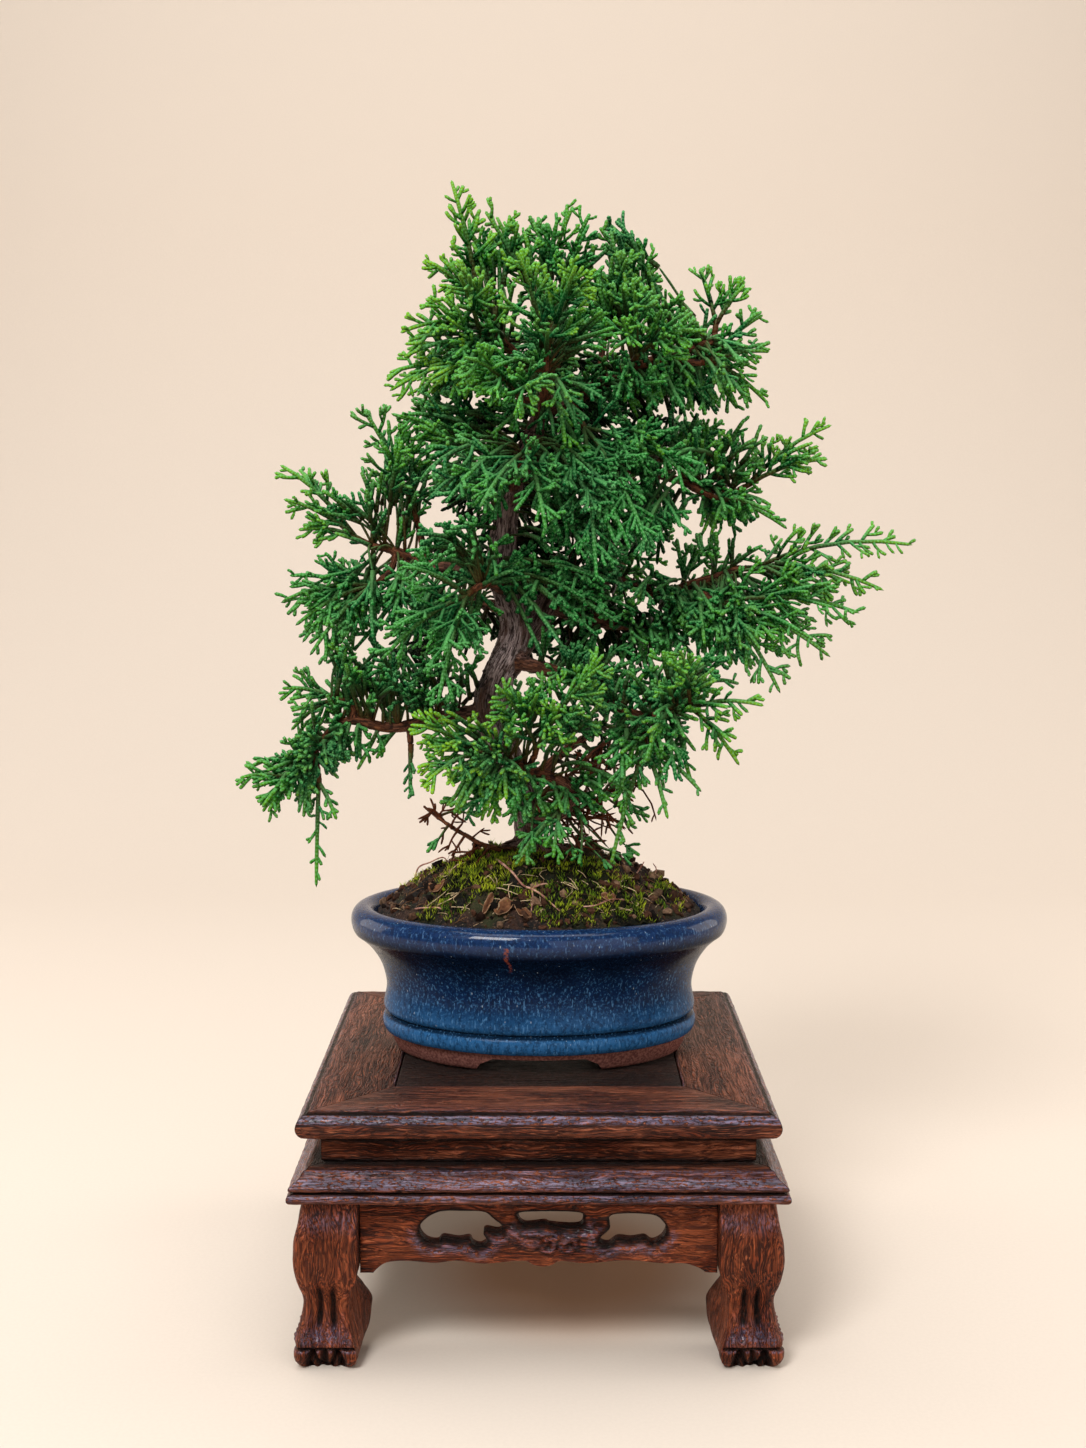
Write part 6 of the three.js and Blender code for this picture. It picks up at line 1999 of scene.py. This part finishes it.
def make_litter(dice, count):
    """Dry fibres, needles and fine rootlets that lie tangled on the soil."""
    skein = Skein()
    face = Vector((0.2, 0.3, 1)).normalized()
    for _ in range(count):
        x, y = scattered(dice)
        turn = dice.uniform(0, 2 * math.pi)
        length = dice.uniform(1.6, 5.5) if dice.random() < 0.85 else dice.uniform(5, 9)
        ex, ey = x + length * math.cos(turn), y + length * math.sin(turn)
        if not in_soil(x, y) or not in_soil(ex, ey):
            continue
        start = Vector((x, y, crumb_height(x, y) + 0.1))
        end = Vector((ex, ey, crumb_height(ex, ey) + dice.uniform(0, 0.9)))
        curl = Vector([dice.uniform(*span) * length for span in ((-0.3, 0.3), (-0.3, 0.3), (0.1, 0.4))])
        thick = dice.uniform(0.09, 0.2)
        skein.add("fibre", start, start.lerp(end, 0.5) + curl, end, face, (thick, thick * 0.6),
                  (dice.random(), dice.random()), dice.random())
    for _ in range(PALE_ROOTLETS):
        x, y = dice.uniform(-34, 34), dice.uniform(-33, -16)
        turn, length = dice.uniform(0, 2 * math.pi), dice.uniform(3, 8)
        ex, ey = x + length * math.cos(turn), y + length * math.sin(turn) * 0.6
        if in_soil(x * 1.03, y * 1.03) and in_soil(ex * 1.03, ey * 1.03):
            start = Vector((x, y, ground_height(x, y) + 0.8))
            end = Vector((ex, ey, ground_height(ex, ey) + dice.uniform(0.6, 2)))
            curl = Vector((dice.uniform(-0.6, 0.6), dice.uniform(-0.4, 0.4), dice.uniform(0, 0.3))) * length
            thick = dice.uniform(0.13, 0.2)
            skein.add("fibre", start, start.lerp(end, 0.5) + curl, end, face, (thick, thick * 0.7),
                      (0.9, 1), 1)
    return skein.make("soil_litter", litter_material())


@once
def crumb_material():
    return earth_material("Soil crumbs", "shade", tone(14, 8, 6), tone(92, 60, 44), tone(150, 120, 96))


@once
def litter_material():
    return earth_material("Dry litter", "growth", tone(52, 30, 18), tone(150, 112, 78), tone(232, 206, 166))


def earth_material(name, attribute, dark, middle, pale):
    """Dry earth colours, one mix for each crumb or fibre."""
    nodes = Surface(name)
    first, second, _ = nodes.parts(nodes.read(attribute))
    fine = nodes.grain(nodes.place(), 1300, 3)
    colour = nodes.blend(nodes.span(first, 0.1, 0.9), dark, middle)
    colour = nodes.blend(nodes.span(second, 0.75, 1.0), colour, pale)
    colour = nodes.blend(nodes.span(fine, 0.35, 0.65, 0.5, 0), colour, dark)
    return nodes.finish(colour, nodes.span(fine, 0.3, 0.7, 0.95, 0.8), 0.15, (0.6, 0.3 * MM, fine))


# Roots that show on the soil: places from above, with the height over the ground and the thickness at each
SURFACE_ROOTS = [
    [(-15, -6, 2.6, 0.5), (-12, -13, 1.6, 0.45), (-8, -19, 1.5, 0.42), (-4.5, -22.5, 1.5, 0.4),
     (-2, -24.5, 1.5, 0.4), (1, -26, 1.0, 0.36), (4.5, -28, 0.8, 0.3), (6.5, -29, -0.3, 0.2)],
    [(-2, -24.5, 1.5, 0.34), (0, -24, 2.0, 0.3), (2.2, -23, 2.0, 0.26), (3, -22.5, 0.6, 0.2)],
    [(-2, -24.5, 1.4, 0.3), (-1.8, -26.5, 1.2, 0.26), (-2.2, -28.5, 0, 0.2)],
    [(-38, 5, 0.2, 0.34), (-36.5, 4, 3.2, 0.3), (-33, 3, 3.8, 0.28), (-29, 2, 2.2, 0.24), (-27, 1, 0, 0.2)],
    [(28, -8, 0, 0.3), (30, -8.5, 3.6, 0.26), (31, -9, 5.6, 0.18)],
    [(34, -2, 0, 0.26), (35, -3, 3, 0.22), (34, -4, 4.6, 0.16)],
    [(-36, -18, 0.3, 0.34), (-33, -20, 1.0, 0.3), (-29, -22, 0.5, 0.26), (-27, -24, -0.2, 0.2)],
    [(12, -27, 0.2, 0.28), (16, -27, 1.4, 0.26), (21, -24, 1.5, 0.22), (25, -21, 0.4, 0.18)],
]


def make_surface_roots():
    tubes = []
    for root in SURFACE_ROOTS:
        stations = [(x, y, crumb_height(x, y) * 0.3 + ground_height(x, y) * 0.7 + lift, thick * 0.82)
                    for x, y, lift, thick in root]
        tubes.append(tube(smooth_stations(stations, 0.8), 7))
    return joined_tubes("surface_roots", tubes, root_material())


@once
def root_material():
    nodes = Surface("Bare roots")
    skin = nodes.grain(nodes.place(), 500, 3)
    colour = nodes.blend(nodes.span(skin, 0.35, 0.65), tone(138, 88, 76), tone(208, 164, 146))
    return nodes.finish(colour, nodes.span(skin, 0.3, 0.7, 0.8, 0.6), 0.2, (0.5, 0.2 * MM, skin))


# Scraps of dry leaf: the middle from above, the length, the width and the turn of each
LEAF_SCRAPS = [(-9.6, -28.6, 6.5, 3.2, 0.25), (-4.5, -30.4, 5.5, 2.4, -0.5), (-14.5, -27.2, 5, 2.2, 1.0),
               (20, -24, 4.5, 2.0, 0.4), (-30, -15, 5, 2.4, -0.3)]


def make_leaf_scraps():
    """Crumpled scraps of dry leaf at the front of the soil."""
    points, faces, shades = [], [], []
    across, along = 6, 10
    for order, (x, y, length, width, turn) in enumerate(LEAF_SCRAPS):
        first = len(points)
        for i in range(along + 1):
            for j in range(across + 1):
                u, v = i / along * 2 - 1, j / across * 2 - 1
                dent = noise.noise(Vector((u * 1.6, v * 1.3, order * 3.1)))
                side = v * width / 2 * math.sqrt(max(0.03, 1 - u * u)) * (1 + 0.25 * dent)
                ahead = u * length / 2
                px = x + ahead * math.cos(turn) - side * math.sin(turn)
                py = y + ahead * math.sin(turn) + side * math.cos(turn)
                rise = 1.1 + 0.7 * v * v + 0.5 * u * u + 1.3 * dent
                points.append((px, py, ground_height(px, py) + rise))
                shades.append((0.5 + 0.5 * dent, abs(v) * 0.9, 0))
        for i in range(along):
            for j in range(across):
                a = first + i * (across + 1) + j
                faces.append((a, a + across + 1, a + across + 2, a + 1))
    piece = new_mesh("leaf_scraps", placed(points), [np.array(faces)], leaf_material())
    set_attribute(piece, "shade", np.array(shades))
    apply_modifier(piece, "SOLIDIFY", thickness=0.16 * MM, offset=0)
    return piece


@once
def leaf_material():
    return earth_material("Dry leaf", "shade", tone(62, 36, 24), tone(140, 96, 66), tone(196, 162, 128))


# ---- Stage ----


# The camera's place in millimetres from the middle of the stand, and how far it looks down in degrees
CAMERA_PLACE = (1.165, -517.10, 225.24)
CAMERA_TILT = 6.23


def make_stage():
    """A seamless pale sweep, the camera at the photograph's angle and soft studio light."""
    sweep = start_piece("studio_sweep", bpy.ops.mesh.primitive_plane_add, size=1)
    arc = [(-1.6, 0), (0.55, 0)]
    arc += [(0.55 + 0.5 * math.sin(a), 0.5 - 0.5 * math.cos(a)) for a in np.linspace(0.1, math.pi / 2, 14)]
    arc.append((1.05, 2.6))
    points = [(x, y, z) for y, z in arc for x in (-3, 3)]
    faces = [(2 * i, 2 * i + 1, 2 * i + 3, 2 * i + 2) for i in range(len(arc) - 1)]
    sweep.data.clear_geometry()
    sweep.data.from_pydata(points, [], faces)
    sweep.data.shade_smooth()
    sweep.data.materials.append(paper_material())
    sweep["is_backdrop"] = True

    scene = bpy.context.scene
    camera_data = bpy.data.cameras.new("camera")
    camera_data.lens = chosen("stage", "lens")
    camera = bpy.data.objects.new("camera", camera_data)
    camera.location = Vector(CAMERA_PLACE) * MM + STAND_MIDDLE
    camera.rotation_euler = (math.radians(90 - CAMERA_TILT), 0, 0)
    camera_data.clip_start = 0.01
    scene.collection.objects.link(camera)
    scene.camera = camera

    for name, place, size, power, colour in (
        ("key", (-0.4, -0.8, 1.0), 0.4, chosen("stage", "key"), (1, 0.985, 0.97)),
        ("fill", (0.55, -1.1, 0.4), 1.0, 4.1, (1, 0.93, 0.86)),
        ("top", (0.0, 0.05, 1.5), 1.1, chosen("stage", "top"), (1, 0.99, 0.98)),
        ("left side", (-0.95, 0.3, 0.35), 0.6, 3, (1, 0.9, 0.8)),
        ("right side", (0.95, 0.3, 0.35), 0.6, 3, (1, 0.9, 0.8)),
    ):
        light_data = bpy.data.lights.new(name, "AREA")
        light_data.size, light_data.energy, light_data.color = size, power, colour
        light = bpy.data.objects.new(name, light_data)
        light.location = place
        light.rotation_euler = (Vector((0, 0, 0.16)) - Vector(place)).to_track_quat("-Z", "Y").to_euler()
        scene.collection.objects.link(light)
    world = bpy.data.worlds.new("studio")
    world.use_nodes = True
    background = world.node_tree.nodes["Background"].inputs
    background["Color"].default_value = (1, 0.85, 0.72, 1)
    background["Strength"].default_value = 0.16
    scene.world = world
    scene.view_settings.view_transform = "Standard"


@once
def paper_material():
    nodes = Surface("Studio paper")
    where = nodes.place()
    fibre = nodes.grain(where, 900, 2)
    colour = nodes.blend(nodes.span(fibre, 0.3, 0.7), tone(226, 215, 203), chosen("stage", "paper"))
    from_middle = nodes.add("ShaderNodeVectorMath", {0: where}, operation="LENGTH").outputs["Value"]
    # Painted shadow: a warm brown patch on the paper under the stand.
    colour = nodes.blend(nodes.span(from_middle, 0.06, 0.02), colour, tone(210, 168, 138))
    return nodes.finish(colour, 0.9, 0.05)


class BONSAI_OT_foliage(bpy.types.Operator):
    """Make the fine scale-leaved sprays"""

    bl_idname = "bonsai.foliage"
    bl_label = "Foliage sprays"

    def execute(self, context):
        grown = grow_solids()
        finish, width = foliage_material(), chosen("foliage", "cord_width")
        for order, name in enumerate(SPRAYS):
            skein = make_spray(name, order, grown[name], SPRAYS[name][4], 1)
            seat(skein.make(f"juniper_{name}", finish, width), "foliage", f"spray_{name}")
        for order, (name, pad) in enumerate(PADS.items()):
            seat(make_pad(order, *pad).make(f"inner_{name}", finish, width), "foliage")
        seat(make_whips().make("inner_whips", finish, width), "foliage")
        seat(make_tangle().make("inner_tangle", finish, width), "foliage")
        return {"FINISHED"}


class BONSAI_OT_wood(bpy.types.Operator):
    """Make the trunk, its limbs and its roots"""

    bl_idname = "bonsai.wood"
    bl_label = "Trunk and limbs"

    def execute(self, context):
        seat(make_wood(bark_material(), chosen("wood", "skin")), "bark", "trunk")
        return {"FINISHED"}


class BONSAI_OT_rails(bpy.types.Operator):
    """Make the stand's top, its waist boards and its mouldings"""

    bl_idname = "bonsai.rails"
    bl_label = "Rails and panel"

    def execute(self, context):
        rail = mitred_bar("bullnose_rail", RAIL_PROFILE, rail_material(), 110, 0.16)
        four_sides("bullnose_rail", rail, "rail_wood", "top_rail")
        board = mitred_bar("waist", WAIST_PROFILE, rail_material(), 60, 0.12)
        four_sides("waist_rail", board, "rail_wood", "waist_board")
        moulding = mitred_bar("moulding", MOULDING_PROFILE, rail_material(), 110, 0.12)
        four_sides("ogee_moulding", moulding, "rail_wood", "moulding")
        seat(make_panel(), "rail_wood", "top_panel")
        return {"FINISHED"}


class BONSAI_OT_aprons(bpy.types.Operator):
    """Make the four pierced and carved aprons"""

    bl_idname = "bonsai.aprons"
    bl_label = "Aprons"

    def execute(self, context):
        four_sides("carved_apron", make_apron(), "carved_wood", "apron")
        return {"FINISHED"}


class BONSAI_OT_legs(bpy.types.Operator):
    """Make the four cabriole legs with their paw feet"""

    bl_idname = "bonsai.legs"
    bl_label = "Legs"

    def execute(self, context):
        four_sides("cabriole", make_leg(), "carved_wood", "leg", corners=True)
        return {"FINISHED"}


class BONSAI_OT_pot(bpy.types.Operator):
    """Make the glazed pot"""

    bl_idname = "bonsai.pot"
    bl_label = "Glazed pot"

    def execute(self, context):
        seat(make_pot(chosen("pot", "roundness")), "glazed_pot", "pot")
        return {"FINISHED"}


class BONSAI_OT_soil(bpy.types.Operator):
    """Make the soil mound"""

    bl_idname = "bonsai.soil"
    bl_label = "Soil"

    def execute(self, context):
        seat(make_soil(), "soil", "soil")
        seat(make_crumbs(random.Random(CRUMB_SEED), chosen("soil", "crumbs")), "soil")
        seat(make_litter(random.Random(LITTER_SEED), chosen("soil", "litter")), "soil")
        seat(make_surface_roots(), "bark")
        seat(make_leaf_scraps(), "soil")
        return {"FINISHED"}


class BONSAI_OT_moss(bpy.types.Operator):
    """Make the moss cushions"""

    bl_idname = "bonsai.moss"
    bl_label = "Moss"

    def execute(self, context):
        for order, (name, patches) in enumerate(MOSS_PATCHES.items()):
            nodes = ("moss_front",) if order == 0 else ()
            dice = random.Random(MOSS_SEED + order)
            seat(make_moss(name, patches, dice, chosen("moss", "crowd")), "moss", *nodes)
        return {"FINISHED"}


class BONSAI_OT_stage(bpy.types.Operator):
    """Set up the pale sweep, the camera and the soft lights"""

    bl_idname = "bonsai.stage"
    bl_label = "Studio"

    def execute(self, context):
        make_stage()
        return {"FINISHED"}


# The operators in their order, with the settings that each group of them reads
STEPS = (
    ("foliage", BONSAI_OT_foliage), ("wood", BONSAI_OT_wood), ("stand", BONSAI_OT_rails),
    ("stand", BONSAI_OT_aprons), ("stand", BONSAI_OT_legs), ("pot", BONSAI_OT_pot), ("soil", BONSAI_OT_soil),
    ("moss", BONSAI_OT_moss), ("stage", BONSAI_OT_stage),
)


class BONSAI_PT_sidebar(bpy.types.Panel):
    """Lists the settings and the operators of the bonsai"""

    bl_label = "Juniper bonsai"
    bl_idname = "BONSAI_PT_sidebar"
    bl_space_type = "VIEW_3D"
    bl_region_type = "UI"
    bl_category = "Bonsai"

    def draw(self, context):
        for group, settings in SETTINGS.items():
            box = self.layout.box()
            for name in settings.__annotations__:
                box.prop(getattr(context.scene, "bonsai_" + group), name)
            for user, operator in STEPS:
                if user == group:
                    box.operator(operator.bl_idname)


CLASSES = (*SETTINGS.values(), *(operator for _, operator in STEPS), BONSAI_PT_sidebar)


def register():
    for cls in CLASSES:
        bpy.utils.register_class(cls)
    for group, settings in SETTINGS.items():
        setattr(bpy.types.Scene, "bonsai_" + group, PointerProperty(type=settings))


def unregister():
    for group in SETTINGS:
        delattr(bpy.types.Scene, "bonsai_" + group)
    for cls in reversed(CLASSES):
        bpy.utils.unregister_class(cls)


def main():
    register()
    for _, operator in STEPS:
        family, name = operator.bl_idname.split(".")
        getattr(getattr(bpy.ops, family), name)()
    boxes = [[list(corner) for corner in box] for box in (START_BOX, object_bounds())]


if __name__ == "__main__":
    main()
